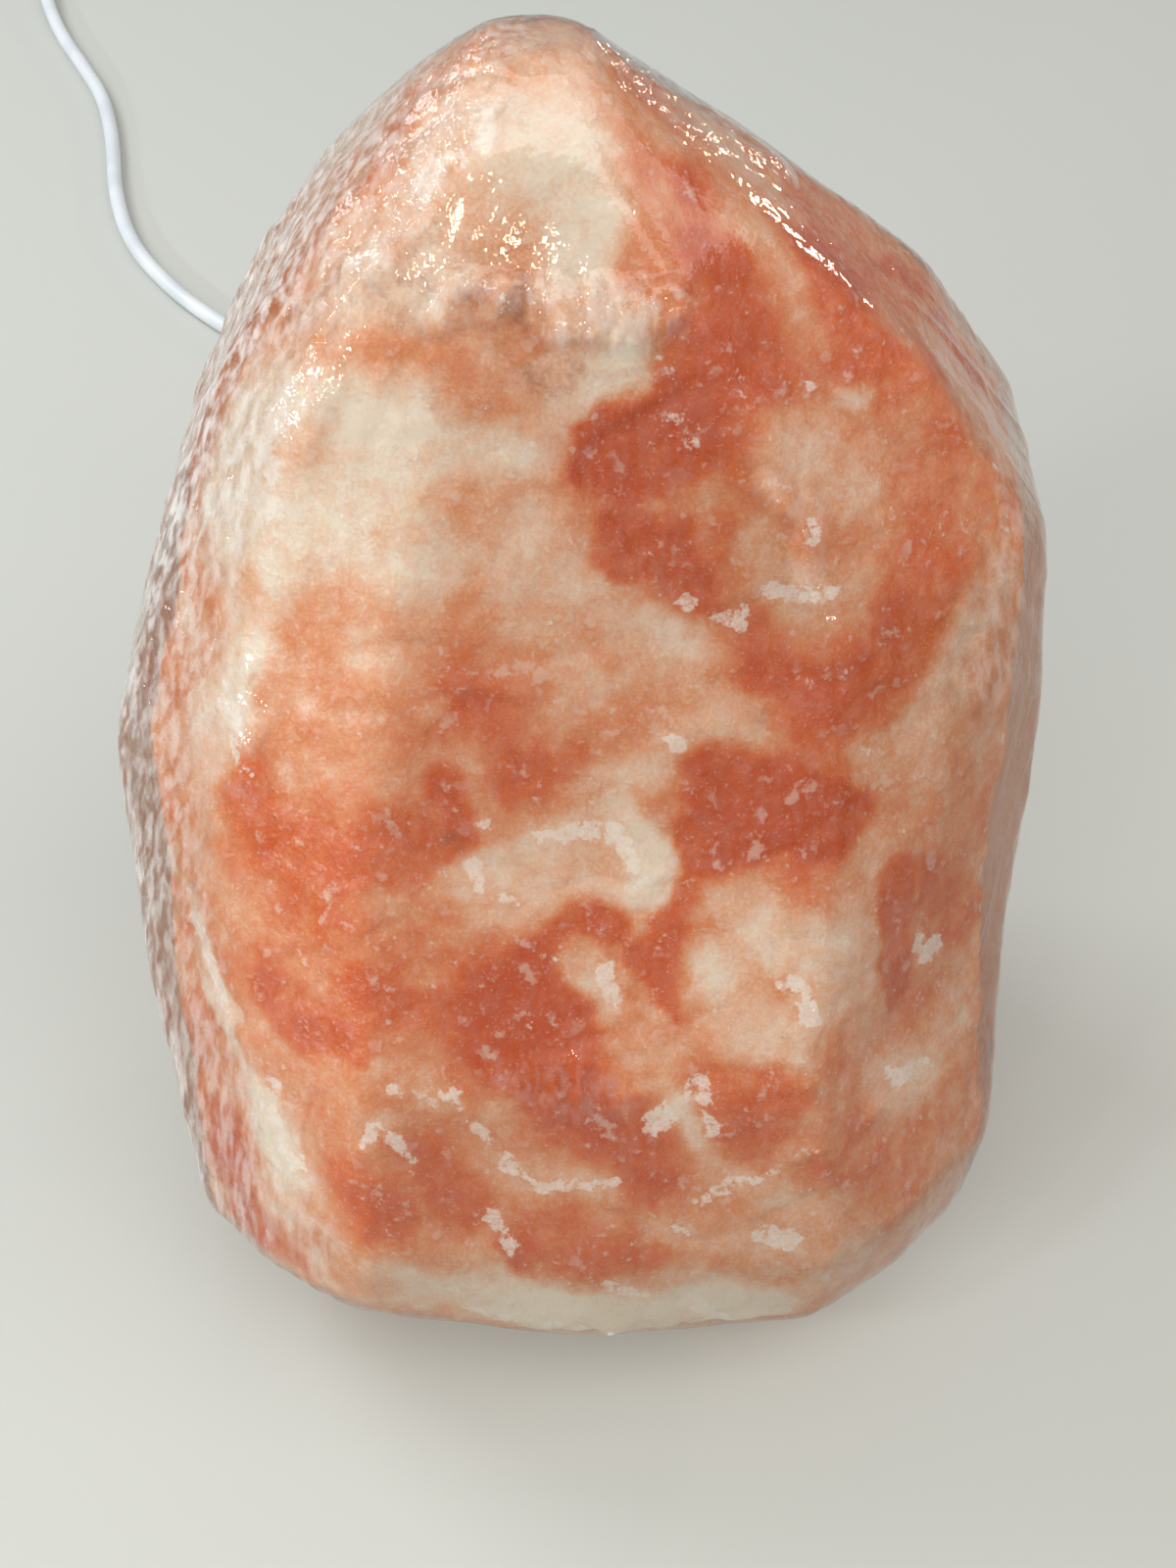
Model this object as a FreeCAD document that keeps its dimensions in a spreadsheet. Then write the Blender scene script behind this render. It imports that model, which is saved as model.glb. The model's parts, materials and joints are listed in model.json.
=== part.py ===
import FreeCAD, Part
import math
import os
from types import SimpleNamespace
import Sketcher
from FreeCAD import Placement, Rotation, Vector

# Salt crystal lamp: a rough block of rock salt in clear film on a turned wooden base, with a small
# screw bulb in a bore under it, a flex that runs out behind, an in-line switch and a flat plug.
# Millimetres. +Z is up, -Y is the front, and the origin is on the floor under the bulb's axis.

doc = FreeCAD.newDocument("salt_crystal_lamp")
sheet = doc.addObject("Spreadsheet::Sheet", "Sizes")
row = 0


class Size:
    """A length, with the spreadsheet formula that gives it."""

    def __init__(self, value, text):
        self.value = float(value)
        self.text = text

    def join(self, other, sign, value):
        """Return the size that a sum or a product of two sizes gives."""
        return Size(value, "(%s %s %s)" % (self.text, sign, formula(other)))

    def __add__(self, other):
        return self.join(other, "+", self.value + number(other))

    def __sub__(self, other):
        return self.join(other, "-", self.value - number(other))

    def __mul__(self, other):
        return self.join(other, "*", self.value * number(other))

    def __truediv__(self, other):
        return self.join(other, "/", self.value / number(other))

    def __neg__(self):
        return Size(-self.value, "(0 - %s)" % self.text)


def number(size):
    """Return the plain number of a size or a number."""
    return size.value if isinstance(size, Size) else float(size)


def formula(size):
    """Return the formula of a size or a number."""
    return size.text if isinstance(size, Size) else repr(float(size))


def named(alias, value):
    """Put one driving dimension in the sheet under its alias, and return it as a size."""
    global row
    row += 1
    sheet.set("A%d" % row, alias.replace("_", " "))
    sheet.set("B%d" % row, repr(value))
    sheet.setAlias("B%d" % row, alias)
    return Size(value, "Sizes." + alias)


SIZES = {
    # Base, feet and screws
    "foot_height": 3.0,  # height of a rubber foot
    "foot_radius": 6.0,  # radius of a foot
    "foot_edge": 0.8,  # bevel round a foot's sole
    "foot_inset": 10.0,  # feet centres, in from the base's edge
    "foot_count": 4,  # number of feet
    "foot_angle": 45.0,  # direction of the first foot, degrees
    "base_radius": 56.0,  # radius of the wooden base
    "base_height": 19.0,  # thickness of the wooden base
    "base_bead": 5.0,  # radius of the base's rounded top edge
    "base_bevel": 1.5,  # bevel of the base's lower edge
    "hole_radius": 21.0,  # radius of the base's centre hole
    "recess_radius": 27.0,  # radius of the recess under the base
    "recess_depth": 5.0,  # depth of the recess under the base
    "groove_width": 8.0,  # width of the cord groove
    "groove_depth": 8.0,  # depth of the cord groove
    "groove_angle": 115.0,  # direction of the cord groove, degrees
    "screw_inset": 16.0,  # base screws, in from the base's edge
    "screw_count": 4,  # number of base screws
    "screw_radius": 2.0,  # radius of a base screw's shank
    "screw_head": 4.0,  # radius of a base screw's head
    "screw_rise": 2.4,  # height of a base screw's head
    "screw_bite": 14.0,  # how far a base screw goes into the salt
    "screw_play": 0.15,  # clearance round a screw's shank
    "sink_depth": 6.0,  # depth of a base screw's counterbore
    "sink_play": 1.0,  # clearance round a base screw's head
    # Crystal: its overall sizes, its bore and its film
    "crystal_width": 168.8,  # width of the block
    "crystal_depth": 166.4,  # depth of the block
    "crystal_height": 234.0,  # height of the block
    "bore_radius": 24.0,  # radius of the bulb's bore in the salt
    "bore_depth": 128.0,  # depth of the bulb's bore
    "bore_cone": 10.0,  # height of the drilled cone at the bore's end
    "film_gap": 0.3,  # gap between the salt and the film
    "film_wall": 0.3,  # thickness of the film
    # Lampholder, on its spring clip in the bore
    "clip_rise": 20.0,  # height of the clip's plate over the crystal's foot
    "plate_radius": 17.0,  # radius of the clip's plate
    "plate_wall": 1.0,  # thickness of the clip's plate
    "leg_count": 3,  # number of spring legs
    "leg_angle": 55.0,  # direction of the first leg, degrees
    "leg_width": 8.0,  # width of a spring leg
    "leg_wall": 1.1,  # thickness of a leg, measured level
    "leg_drop": 18.0,  # how far a leg reaches down
    "leg_curl": 4.0,  # how far a leg's end turns in again
    "leg_gap": 0.3,  # clearance between a leg and the bore
    "nipple_radius": 5.0,  # radius of the threaded nipple
    "nipple_bore": 3.3,  # bore radius of the nipple
    "nipple_below": 6.0,  # nipple below the plate
    "nipple_above": 8.0,  # nipple above the plate
    "nut_across": 14.0,  # nut, across flats
    "nut_height": 3.5,  # height of the nut
    "thread_play": 0.08,  # clearance round the nipple
    "cap_radius": 14.0,  # radius of the lampholder
    "cap_height": 16.0,  # height of the rear cap
    "cap_wall": 1.6,  # wall of the lampholder
    "cap_floor": 2.5,  # floor of the rear cap
    "cap_dome": 5.0,  # rounding of the rear cap's edge
    "boss_radius": 8.0,  # radius of the cap's threaded boss
    "boss_height": 9.0,  # height of the cap's threaded boss
    "grip_width": 15.0,  # width of the cord grip
    "grip_depth": 8.0,  # depth of the cord grip
    "grip_height": 4.5,  # height of the cord grip
    "grip_play": 0.1,  # clearance round the cord
    "wire_radius": 0.9,  # radius of an insulated wire
    "wire_spread": 1.2,  # wires, from the axis
    "insert_play": 0.6,  # clearance round the contact block
    "insert_height": 5.5,  # height of the contact block
    "terminal_inset": 3.5,  # terminal screws, in from the contact block's edge
    "terminal_radius": 1.4,  # radius of a terminal screw
    "terminal_head": 2.3,  # head radius of a terminal screw
    "terminal_rise": 1.4,  # head height of a terminal screw
    "terminal_length": 4.2,  # shank length of a terminal screw
    "shell_height": 27.0,  # height of the lampholder's front shell
    "mouth_play": 0.8,  # clearance of the front shell's mouth round the threaded sleeve
    "shell_lip": 1.8,  # thickness of the front shell's lip
    "socket_play": 0.35,  # clearance of the threaded sleeve round the bulb's cap
    "socket_wall": 0.4,  # wall of the threaded sleeve
    "socket_gap": 1.2,  # gap between the threaded sleeve and the shell's lip
    "contact_width": 4.0,  # width of a contact strip
    "contact_wall": 0.4,  # thickness of a contact strip
    "contact_arch": 1.6,  # rise of the centre contact
    "contact_gap": 0.1,  # side contact, from the sleeve
    "side_drop": 6.5,  # side contact's end, under the sleeve's top
    # Bulb, with a 14 mm screw cap
    "bulb_rest": 0.2,  # gap under the bulb's tip
    "tip_radius": 2.4,  # radius of the solder tip
    "tip_height": 1.8,  # height of the solder tip
    "glass_base": 3.0,  # lower radius of the black insulator
    "disc_height": 2.5,  # height of the black insulator
    "thread_radius": 6.75,  # radius of the bulb's screw cap
    "thread_wall": 0.35,  # wall of the bulb's screw cap
    "thread_height": 17.5,  # height of the bulb's screw cap
    "neck_gap": 0.1,  # gap between the cap and the glass neck
    "neck_sink": 4.0,  # glass neck inside the cap
    "shoulder_rise": 10.0,  # height of the glass shoulder
    "bulb_radius": 12.5,  # radius of the glass
    "bulb_wall": 0.7,  # wall of the glass
    "bulb_body": 15.0,  # height of the glass cylinder
    "bulb_dome": 9.0,  # height of the glass dome
    "stem_radius": 2.2,  # radius of the glass stem
    "stem_height": 15.0,  # height of the glass stem
    "lead_radius": 0.35,  # radius of a filament support
    "lead_spread": 1.5,  # supports at the stem, from the axis
    "lead_rise": 11.0,  # height of the supports
    "filament_reach": 5.5,  # half width of the filament
    "filament_wire": 0.3,  # radius of the coiled filament
    # Cord, with its saddle under the base
    "cord_radius": 2.5,  # radius of the cord
    "saddle_inset": 20.0,  # saddle, in from the base's edge
    "saddle_half": 9.0,  # half length of the saddle
    "saddle_width": 7.0,  # width of the saddle
    "saddle_wall": 1.2,  # thickness of the saddle
    "saddle_gap": 0.2,  # gap between the saddle and the cord
    "saddle_screw": 6.5,  # saddle screws, from the groove's middle
    "tack_radius": 1.2,  # radius of a saddle screw
    "tack_head": 2.2,  # head radius of a saddle screw
    "tack_rise": 1.0,  # head height of a saddle screw
    "tack_bite": 8.0,  # how far a saddle screw goes into the wood
    "bend_run": 15.0,  # run between the turns of the cord's bend
    "coil_x": -173.25,  # middle of the coil, across
    "coil_y": 718.0,  # middle of the coil, back
    "coil_inner": 20.0,  # radius of the coil's tightest turn
    "coil_pitch": 5.5,  # pitch of the coil's turns and layers
    "coil_turns": 5,  # half turns in each layer of the coil
    "tie_wall": 0.6,  # thickness of the coil's tie
    "tie_width": 4.0,  # width of the coil's tie
    "tie_gap": 0.3,  # gap between the tie and the coil
    # In-line switch
    "switch_x": -210.0,  # switch, across
    "switch_y": 593.0,  # switch, back
    "switch_half": 13.0,  # half width of the switch
    "switch_reach": 31.0,  # half length of the switch
    "switch_corner": 7.0,  # corner radius of the switch
    "switch_split": 8.0,  # height of the lower shell
    "switch_rise": 8.5,  # height of the upper shell
    "switch_wall": 1.8,  # wall of the switch
    "switch_round": 1.6,  # rounding of the switch's upper edge
    "window_room": 1.2,  # room beyond each end of the rocker
    "window_play": 0.4,  # clearance beside the rocker
    "rocker_half": 9.5,  # half length of the rocker
    "rocker_width": 12.4,  # width of the rocker
    "rocker_ends": 4.5,  # rocker's ends, over its pin
    "rocker_dip": 3.2,  # rocker's middle, over its pin
    "rocker_under": 3.6,  # rocker's nose, under its pin
    "rocker_tilt": 9.0,  # tilt of the rocker at rest, degrees
    "pin_drop": 2.6,  # pin, under the upper shell's top
    "pin_radius": 1.0,  # radius of the rocker's pin
    "pin_play": 0.05,  # clearance of the pin in the rocker
    "ear_wall": 1.6,  # thickness of a pin ear
    "ear_half": 2.6,  # half width of a pin ear
    "blade_half": 2.5,  # half width of a switch contact
    "blade_wall": 0.6,  # thickness of a switch contact
    "blade_inset": 11.0,  # switch contacts, in from the housing's end
    "blade_near": 6.0,  # inner end of a switch contact
    "blade_rise": 3.0,  # rise of a switch contact
    "post_side": 4.2,  # switch screws, in from the housing's side
    "post_end": 9.2,  # switch screws, in from the housing's end
    "post_radius": 2.9,  # radius of a screw post
    "rivet_radius": 1.2,  # radius of a switch screw
    "rivet_head": 2.1,  # head radius of a switch screw
    "rivet_rise": 1.5,  # head height of a switch screw
    "rivet_grip": 4.5,  # how far a switch screw goes into the upper shell
    "boot_radius": 4.6,  # root radius of a strain relief
    "boot_tip": 3.3,  # tip radius of a strain relief
    "boot_length": 22.0,  # length of a switch's strain relief
    "boot_neck": 3.9,  # neck of a strain relief in its housing
    "boot_play": 0.1,  # clearance round a strain relief's neck
    "boot_hold": 12.0,  # how far the cord goes into a strain relief
    "boot_rings": 4,  # grooves in a strain relief
    "boot_groove": 0.7,  # depth of a strain relief's groove
    # Plug
    "plug_x": -22.9,  # plug's face, across
    "plug_y": 631.9,  # plug's face, back
    "plug_angle": -99.5,  # turn of the plug, degrees
    "plug_width": 35.3,  # width of the plug's face
    "plug_thick": 13.7,  # thickness of the plug
    "plug_flank": 4.0,  # width of the flat on the plug's side
    "plug_block": 10.0,  # straight length behind the plug's face
    "plug_waist": 26.0,  # width of the plug's waist
    "waist_place": 22.0,  # plug's waist, from its face
    "plug_tail": 14.0,  # width of the plug's rear end
    "tail_thick": 11.0,  # thickness of the plug's rear end
    "plug_length": 34.0,  # length of the plug's body
    "prong_spread": 18.6,  # distance between the pins
    "prong_radius": 2.0,  # radius of a pin
    "prong_core": 1.5,  # radius of a pin in its sleeve
    "prong_length": 19.0,  # length of a pin
    "prong_nose": 1.2,  # bevel of a pin's end
    "sleeve_length": 10.0,  # length of a pin's sleeve
    "sleeve_play": 0.05,  # clearance inside a pin's sleeve
    "plug_boot": 26.0,  # length of the plug's strain relief
}
lamp = SimpleNamespace(**{alias: named(alias, value) for alias, value in SIZES.items()})

# Crystal, from its sawn foot to its tip: per cent of its height, of its width left and right of the
# bulb's axis and of its depth before and behind it, and the corners' share of a side.
LEVELS = [
    # height, left, right, front, back, corner
    (0.0, 43.5, 43.5, 41.5, 37.0, 0.55),
    (4.3, 47.2, 48.2, 50.0, 41.8, 0.60),
    (13.7, 46.6, 50.6, 48.3, 45.6, 0.58),
    (29.9, 47.1, 48.8, 39.3, 48.2, 0.52),
    (47.0, 47.7, 51.8, 24.9, 50.0, 0.50),
    (63.2, 41.7, 50.6, 12.9, 44.1, 0.50),
    (76.9, 34.0, 36.4, 6.2, 39.3, 0.50),
    (88.0, 23.9, 19.8, -0.4, 33.3, 0.50),
    (95.7, 15.0, 6.6, -5.7, 26.7, 0.50),
    (100.0, 9.1, 0.8, -11.2, 20.0, 0.50),
]
# Lumps and hollows of the broken faces on each level, and how far the film stands off them: along
# sixteen directions from the right, round by the back (4), the left (8) and the front (12).
LUMPS = [
    (0, -1.0, -2.0, 0.5, 0, -1.0, -2.5, 0.5, 0, -2.0, -3.0, -4.0, 0.5, -3.0, -1.5, -1.5),
    (0, -1.5, -1.0, 1.0, 0, -2.0, -1.0, 0, 0, -2.0, -1.0, -6.5, 0, -4.5, -1.0, -2.0),
    (0, 1.5, -2.0, -1.0, 0, 1.5, -2.5, 1.0, 0, -1.0, 0, -3.0, 0, -2.0, 1.0, -1.0),
    (0, -1.5, 2.0, -2.0, 0, 2.0, 1.0, -2.0, 0, 0, 5.5, 1.0, 0, 1.5, -1.5, -2.5),
    (-3.0, 0, -2.5, -1.0, 0, -2.0, 3.0, -1.5, 0, 1.0, 8.5, 2.0, -1.5, -1.0, 2.0, -4.5),
    (-2.0, -2.0, 1.5, 2.0, -1.5, 1.0, -2.0, 1.5, 0, 2.0, 10.0, 3.0, 1.0, -1.5, 1.0, -3.0),
    (0, 2.0, -1.5, -2.0, 1.5, -1.5, 2.0, -1.0, 0, 2.0, 9.0, -2.5, -2.0, 1.0, -2.0, 1.0),
    (0, -1.0, 1.5, 1.0, -1.0, 1.5, -1.5, 1.0, 0, 1.0, 5.0, -1.0, 0.5, 1.5, 1.0, -1.0),
    (0, 0.5, -1.0, 0.5, 0, -0.5, 1.0, 0, 0, 0.5, 2.0, 0.5, 0, -0.5, 0.5, 0),
    (0, 0, 0, 0, 0, 0, 0, 0, 0, 0, 0, 0, 0, 0, 0, 0),
]
LIFTS = [
    (0, 0, 0, 0, 0, 0, 0, 0, 0, 0, 0, 0, 0, 0, 0, 0),
    (0, 0, 0, 0, 0, 0, 0, 0, 0, 0, 0, 0, 0, 0, 0, 0),
    (0, 0, 0, 0, 0, 0, 1.0, 1.5, 3.4, 2.0, 0, 1.0, 0, 0.5, 0, 0),
    (4.4, 2.5, 0, 1.0, 0, 0, 0, 4.5, 7.9, 5.5, 0, 0, 0, 0, 0.5, 4.0),
    (3.0, 0, 1.0, 0, 0, 0.5, 0, 4.0, 6.6, 6.0, 0.5, 0, 0.5, 0, 0, 5.0),
    (2.0, 1.0, 0, 0, 0.5, 0, 0.5, 1.5, 2.4, 3.0, 0, 0, 0, 0.5, 0, 3.5),
    (0, 0, 0.5, 0.5, 0, 0.5, 0, 1.0, 1.6, 2.0, 0, 2.0, 1.0, 0, 0.5, 0),
    (0, 0, 0, 0, 0.5, 0, 0.5, 1.5, 2.5, 2.0, 0, 0.5, 0, 0, 0, 0.5),
    (0, 0, 0, 0, 0, 0, 0, 1.0, 2.4, 1.5, 0, 0, 0, 0, 0, 0),
    (0, 0, 0, 0, 0, 0, 0, 0, 0, 0, 0, 0, 0, 0, 0, 0),
]
WHOLE = {
    "level": lamp.crystal_height,
    "left": lamp.crystal_width,
    "right": lamp.crystal_width,
    "front": lamp.crystal_depth,
    "back": lamp.crystal_depth,
}
WORDS = ["level", "left", "right", "front", "back", "corner"]
ZERO = Size(0.0, "0.0")
levels = []
for index, values in enumerate(LEVELS):
    level = {}
    for word, value in zip(WORDS, values):
        level[word] = named("%s_%d" % (word, index), value) if value else ZERO
        if word in WHOLE and value:
            level[word] = WHOLE[word] * level[word] / 100.0
    for word, table in (("lump", LUMPS), ("lift", LIFTS)):
        level[word] = [named("%s_%d_%d" % (word, index, way), value) if value else ZERO
                       for way, value in enumerate(table[index])]
    levels.append(level)
doc.recompute()
pieces = []


def body(label):
    """Start the body of one separate piece."""
    piece = doc.addObject("PartDesign::Body", label)
    piece.AllowCompound = True
    pieces.append(piece)
    return piece


def origin(piece, role):
    """Return a plane or an axis of a body's own origin."""
    return [item for item in piece.Origin.OriginFeatures if item.Role == role][0]


def sketch(piece, name, plane="XY_Plane", lift=None, turn=None):
    """Start a sketch on a plane of the body, lifted along its normal or turned about it."""
    drawn = piece.newObject("Sketcher::SketchObject", piece.Label + "_" + name)
    drawn.AttachmentSupport = [(origin(piece, plane), "")]
    drawn.MapMode = "FlatFace"
    if lift is not None:
        drawn.AttachmentOffset = Placement(Vector(0, 0, number(lift)), Rotation())
        drawn.setExpression("AttachmentOffset.Base.z", formula(lift))
    if turn is not None:
        drawn.AttachmentOffset = Placement(Vector(0, 0, number(lift or 0)), Rotation(number(turn), 0, 0))
        drawn.setExpression("AttachmentOffset.Rotation.Angle", formula(turn))
    return drawn


def bind(drawn, constraint, size):
    """Add a constraint whose value is bound to a size."""
    place = drawn.addConstraint(constraint)
    if isinstance(size, Size):
        drawn.setExpression("Constraints[%d]" % place, size.text)


def pin_point(drawn, item, end, x, y):
    """Bind a point of a sketch to its two sizes from the sketch's origin."""
    bind(drawn, Sketcher.Constraint("DistanceX", -1, 1, item, end, number(x)), x)
    bind(drawn, Sketcher.Constraint("DistanceY", -1, 1, item, end, number(y)), y)


def outline(drawn, points):
    """Draw a closed outline. A third value turns the edge after a point into an arc of that radius."""
    first = drawn.GeometryCount
    count = len(points)
    spots = [Vector(number(point[0]), number(point[1]), 0) for point in points]
    for index, point in enumerate(points):
        start, end = spots[index], spots[(index + 1) % count]
        if len(point) == 3:
            radius = abs(number(point[2]))
            chord = end - start
            rise = math.sqrt(max(radius ** 2 - (chord.Length / 2) ** 2, 0.0))
            side = Vector(-chord.y, chord.x, 0).normalize() * (rise if number(point[2]) > 0 else -rise)
            centre = (start + end) / 2 + side
            middle = centre + ((start + end) / 2 - centre).normalize() * radius
            drawn.addGeometry(Part.Arc(start, middle, end))
        else:
            drawn.addGeometry(Part.LineSegment(start, end))
    for index, point in enumerate(points):
        here, there = first + index, first + (index + 1) % count
        if len(point) == 3:
            ends = (1, 2) if number(point[2]) > 0 else (2, 1)
        else:
            ends = (1, 2)
        after = points[(index + 1) % count]
        next_start = 2 if len(after) == 3 and number(after[2]) < 0 else 1
        drawn.addConstraint(Sketcher.Constraint("Coincident", here, ends[1], there, next_start))
        pin_point(drawn, here, ends[0], point[0], point[1])
        if len(point) == 3:
            size = point[2] if number(point[2]) > 0 else -point[2]
            bind(drawn, Sketcher.Constraint("Radius", here, number(size)), size)


def circle(drawn, x, y, radius):
    """Draw a circle whose place and radius are bound."""
    index = drawn.addGeometry(Part.Circle(Vector(number(x), number(y), 0), Vector(0, 0, 1), number(radius)))
    bind(drawn, Sketcher.Constraint("Radius", index, number(radius)), radius)
    pin_point(drawn, index, 3, x, y)


def feature(kind, piece, drawn, name):
    """Add a feature that works from a sketch."""
    made = piece.newObject("PartDesign::" + kind, piece.Label + "_" + name)
    made.Profile = drawn
    return made


def pad(piece, drawn, length, name, both=False, back=False):
    """Pad a sketch along its normal, both ways or back."""
    made = feature("Pad", piece, drawn, name)
    made.setExpression("Length", formula(length))
    if both:
        made.SideType = "Symmetric"
    made.Reversed = back
    return made


def pocket(piece, drawn, length, name, both=False, up=True):
    """Cut a sketch into the body, up its normal or down, or both ways."""
    made = feature("Pocket", piece, drawn, name)
    made.setExpression("Length", formula(length))
    if both:
        made.SideType = "Symmetric"
    made.Reversed = up
    return made


def turned(piece, name, points, cut=False, plane="XZ_Plane", axis="V_Axis", middle=None):
    """Turn an outline about an axis of its sketch, or about an upright line at a given distance."""
    drawn = sketch(piece, name + "_profile", plane)
    if middle is None:
        outline(drawn, points)
    else:
        outline(drawn, [(middle + point[0],) + tuple(point[1:]) for point in points])
        foot, head = Vector(number(middle), 0, 0), Vector(number(middle), 10, 0)
        line = drawn.addGeometry(Part.LineSegment(foot, head), True)
        pin_point(drawn, line, 1, middle, 0.0)
        pin_point(drawn, line, 2, middle, 10.0)
        axis = "Axis0"
    made = feature("Groove" if cut else "Revolution", piece, drawn, name)
    made.ReferenceAxis = (drawn, [axis])
    made.Angle = 360
    return made


def around(piece, items, count, name, axis="Z_Axis"):
    """Repeat features round an axis of the body."""
    made = piece.newObject("PartDesign::PolarPattern", piece.Label + "_" + name)
    made.Originals = items
    made.Axis = (origin(piece, axis), [""])
    made.Angle = 360
    made.setExpression("Occurrences", formula(count))
    piece.Tip = made
    return made


def place(piece, x=0.0, y=0.0, z=0.0, turn=None, axis=Vector(0, 0, 1)):
    """Put a body at its bound place, turned about an axis through its own origin."""
    angle = number(turn) if turn is not None else 0.0
    piece.Placement = Placement(Vector(number(x), number(y), number(z)), Rotation(axis, angle))
    for letter, size in zip("xyz", (x, y, z)):
        if isinstance(size, Size):
            piece.setExpression(".Placement.Base." + letter, size.text)
    if turn is not None:
        piece.setExpression(".Placement.Rotation.Angle", formula(turn))


def rectangle(drawn, left, low, right, high):
    """Draw a rectangle between two corners."""
    outline(drawn, [(left, low), (right, low), (right, high), (left, high)])


# Wooden base: a turned disc with a hole, a recess, a cord groove and screw holes
base_low = lamp.foot_height
foot_circle = lamp.base_radius - lamp.foot_inset
screw_circle = lamp.base_radius - lamp.screw_inset
saddle_place = lamp.base_radius - lamp.saddle_inset
seat = lamp.foot_height + lamp.base_height
base = body("wooden_base")
turned(base, "disc", [
    (lamp.hole_radius, base_low + lamp.recess_depth),
    (lamp.recess_radius, base_low + lamp.recess_depth),
    (lamp.recess_radius, base_low),
    (lamp.base_radius - lamp.base_bevel, base_low),
    (lamp.base_radius, base_low + lamp.base_bevel),
    (lamp.base_radius, seat - lamp.base_bead, lamp.base_bead),
    (lamp.base_radius - lamp.base_bead, seat),
    (lamp.hole_radius, seat),
])
drawn = sketch(base, "groove", lift=base_low, turn=lamp.groove_angle)
rectangle(drawn, 0.0, -lamp.groove_width / 2, lamp.base_radius + 5.0, lamp.groove_width / 2)
pocket(base, drawn, lamp.groove_depth, "groove_cut")
drawn = sketch(base, "tacks", lift=base_low, turn=lamp.groove_angle)
circle(drawn, saddle_place, lamp.saddle_screw, lamp.tack_radius + lamp.screw_play)
circle(drawn, saddle_place, -lamp.saddle_screw, lamp.tack_radius + lamp.screw_play)
pocket(base, drawn, lamp.tack_bite + 1.0, "tack_holes")
drawn = sketch(base, "sink", lift=base_low)
circle(drawn, screw_circle, 0.0, lamp.screw_head + lamp.sink_play)
sink = pocket(base, drawn, lamp.sink_depth, "sink_cut")
drawn = sketch(base, "shank", lift=base_low)
circle(drawn, screw_circle, 0.0, lamp.screw_radius + lamp.screw_play)
shank = pocket(base, drawn, lamp.base_height, "shank_cut")
around(base, [sink, shank], lamp.screw_count, "screw_holes")

feet = body("base_feet")
foot = turned(feet, "foot", [
    (ZERO, 0.0),
    (lamp.foot_radius - lamp.foot_edge, 0.0),
    (lamp.foot_radius, lamp.foot_edge),
    (lamp.foot_radius, lamp.foot_height),
    (ZERO, lamp.foot_height),
], middle=foot_circle)
around(feet, [foot], lamp.foot_count, "ring")
place(feet, turn=lamp.foot_angle)

screws = body("base_screws")
screw_seat = base_low + lamp.sink_depth
screw = turned(screws, "screw", [
    (ZERO, screw_seat - lamp.screw_rise),
    (lamp.screw_head * 0.8, screw_seat - lamp.screw_rise),
    (lamp.screw_head, screw_seat - lamp.screw_rise * 0.5),
    (lamp.screw_head, screw_seat),
    (lamp.screw_radius, screw_seat),
    (lamp.screw_radius, seat + lamp.screw_bite - lamp.screw_radius * 1.5),
    (ZERO, seat + lamp.screw_bite),
], middle=screw_circle)
around(screws, [screw], lamp.screw_count, "ring")

# Salt crystal and its film: ruled lofts through sixteen-sided sections that share one table of sizes
MITRE = math.tan(math.radians(22.5))


def nudged(spot, way, size):
    """Move a point of an outline out along one of the sixteen directions."""
    if size is ZERO:
        return spot
    angle = math.radians(22.5 * way)
    return spot[0] + size * round(math.cos(angle), 5), spot[1] + size * round(math.sin(angle), 5)


def section(piece, name, level, height, grow):
    """Draw one level of the block as a sixteen-sided outline, grown by a margin on every side."""
    left, right, front, back = -level["left"], level["right"], -level["front"], level["back"]
    cut_across = (level["right"] + level["left"]) / 2 * (-level["corner"] + 1.0) - grow * MITRE
    cut_along = (level["back"] + level["front"]) / 2 * (-level["corner"] + 1.0) - grow * MITRE
    west, east, south, north = left - grow, right + grow, front - grow, back + grow
    ring = [
        (east, front + cut_along), (east, back - cut_along), (right - cut_across, north),
        (left + cut_across, north), (west, back - cut_along), (west, front + cut_along),
        (left + cut_across, south), (right - cut_across, south),
    ]
    points = []
    for index, spot in enumerate(ring):
        after = ring[(index + 1) % len(ring)]
        points += [spot, ((spot[0] + after[0]) / 2, (spot[1] + after[1]) / 2)]
    for index, spot in enumerate(points):
        way = (index + 15) % 16
        spot = nudged(spot, way, level["lump"][way])
        points[index] = spot if grow is ZERO else nudged(spot, way, level["lift"][way])
    drawn = sketch(piece, name, lift=height)
    outline(drawn, points)
    return drawn


def block(piece, name, grow, cut=False):
    """Loft the block through its levels."""
    drawn = []
    for index, level in enumerate(levels):
        height = seat + level["level"]
        if index == len(levels) - 1:
            height = height + grow
        drawn.append(section(piece, "%s_%d" % (name, index), level, height, grow))
    made = feature("SubtractiveLoft" if cut else "AdditiveLoft", piece, drawn[0], name)
    made.Sections = drawn[1:]
    made.Ruled = True
    return made


crystal = body("salt_crystal")
block(crystal, "block", ZERO)
turned(crystal, "bore", [
    (0.0, seat - 1.0),
    (lamp.bore_radius, seat - 1.0),
    (lamp.bore_radius, seat + lamp.bore_depth),
    (0.0, seat + lamp.bore_depth + lamp.bore_cone),
], cut=True)
drawn = sketch(crystal, "pilot", lift=seat)
circle(drawn, screw_circle, 0.0, lamp.screw_radius + lamp.screw_play)
pilot = pocket(crystal, drawn, lamp.screw_bite + 1.0, "pilot_cut")
around(crystal, [pilot], lamp.screw_count, "pilot_holes")

film = body("shrink_film")
block(film, "outside", lamp.film_gap + lamp.film_wall)
block(film, "inside", lamp.film_gap, cut=True)

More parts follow.
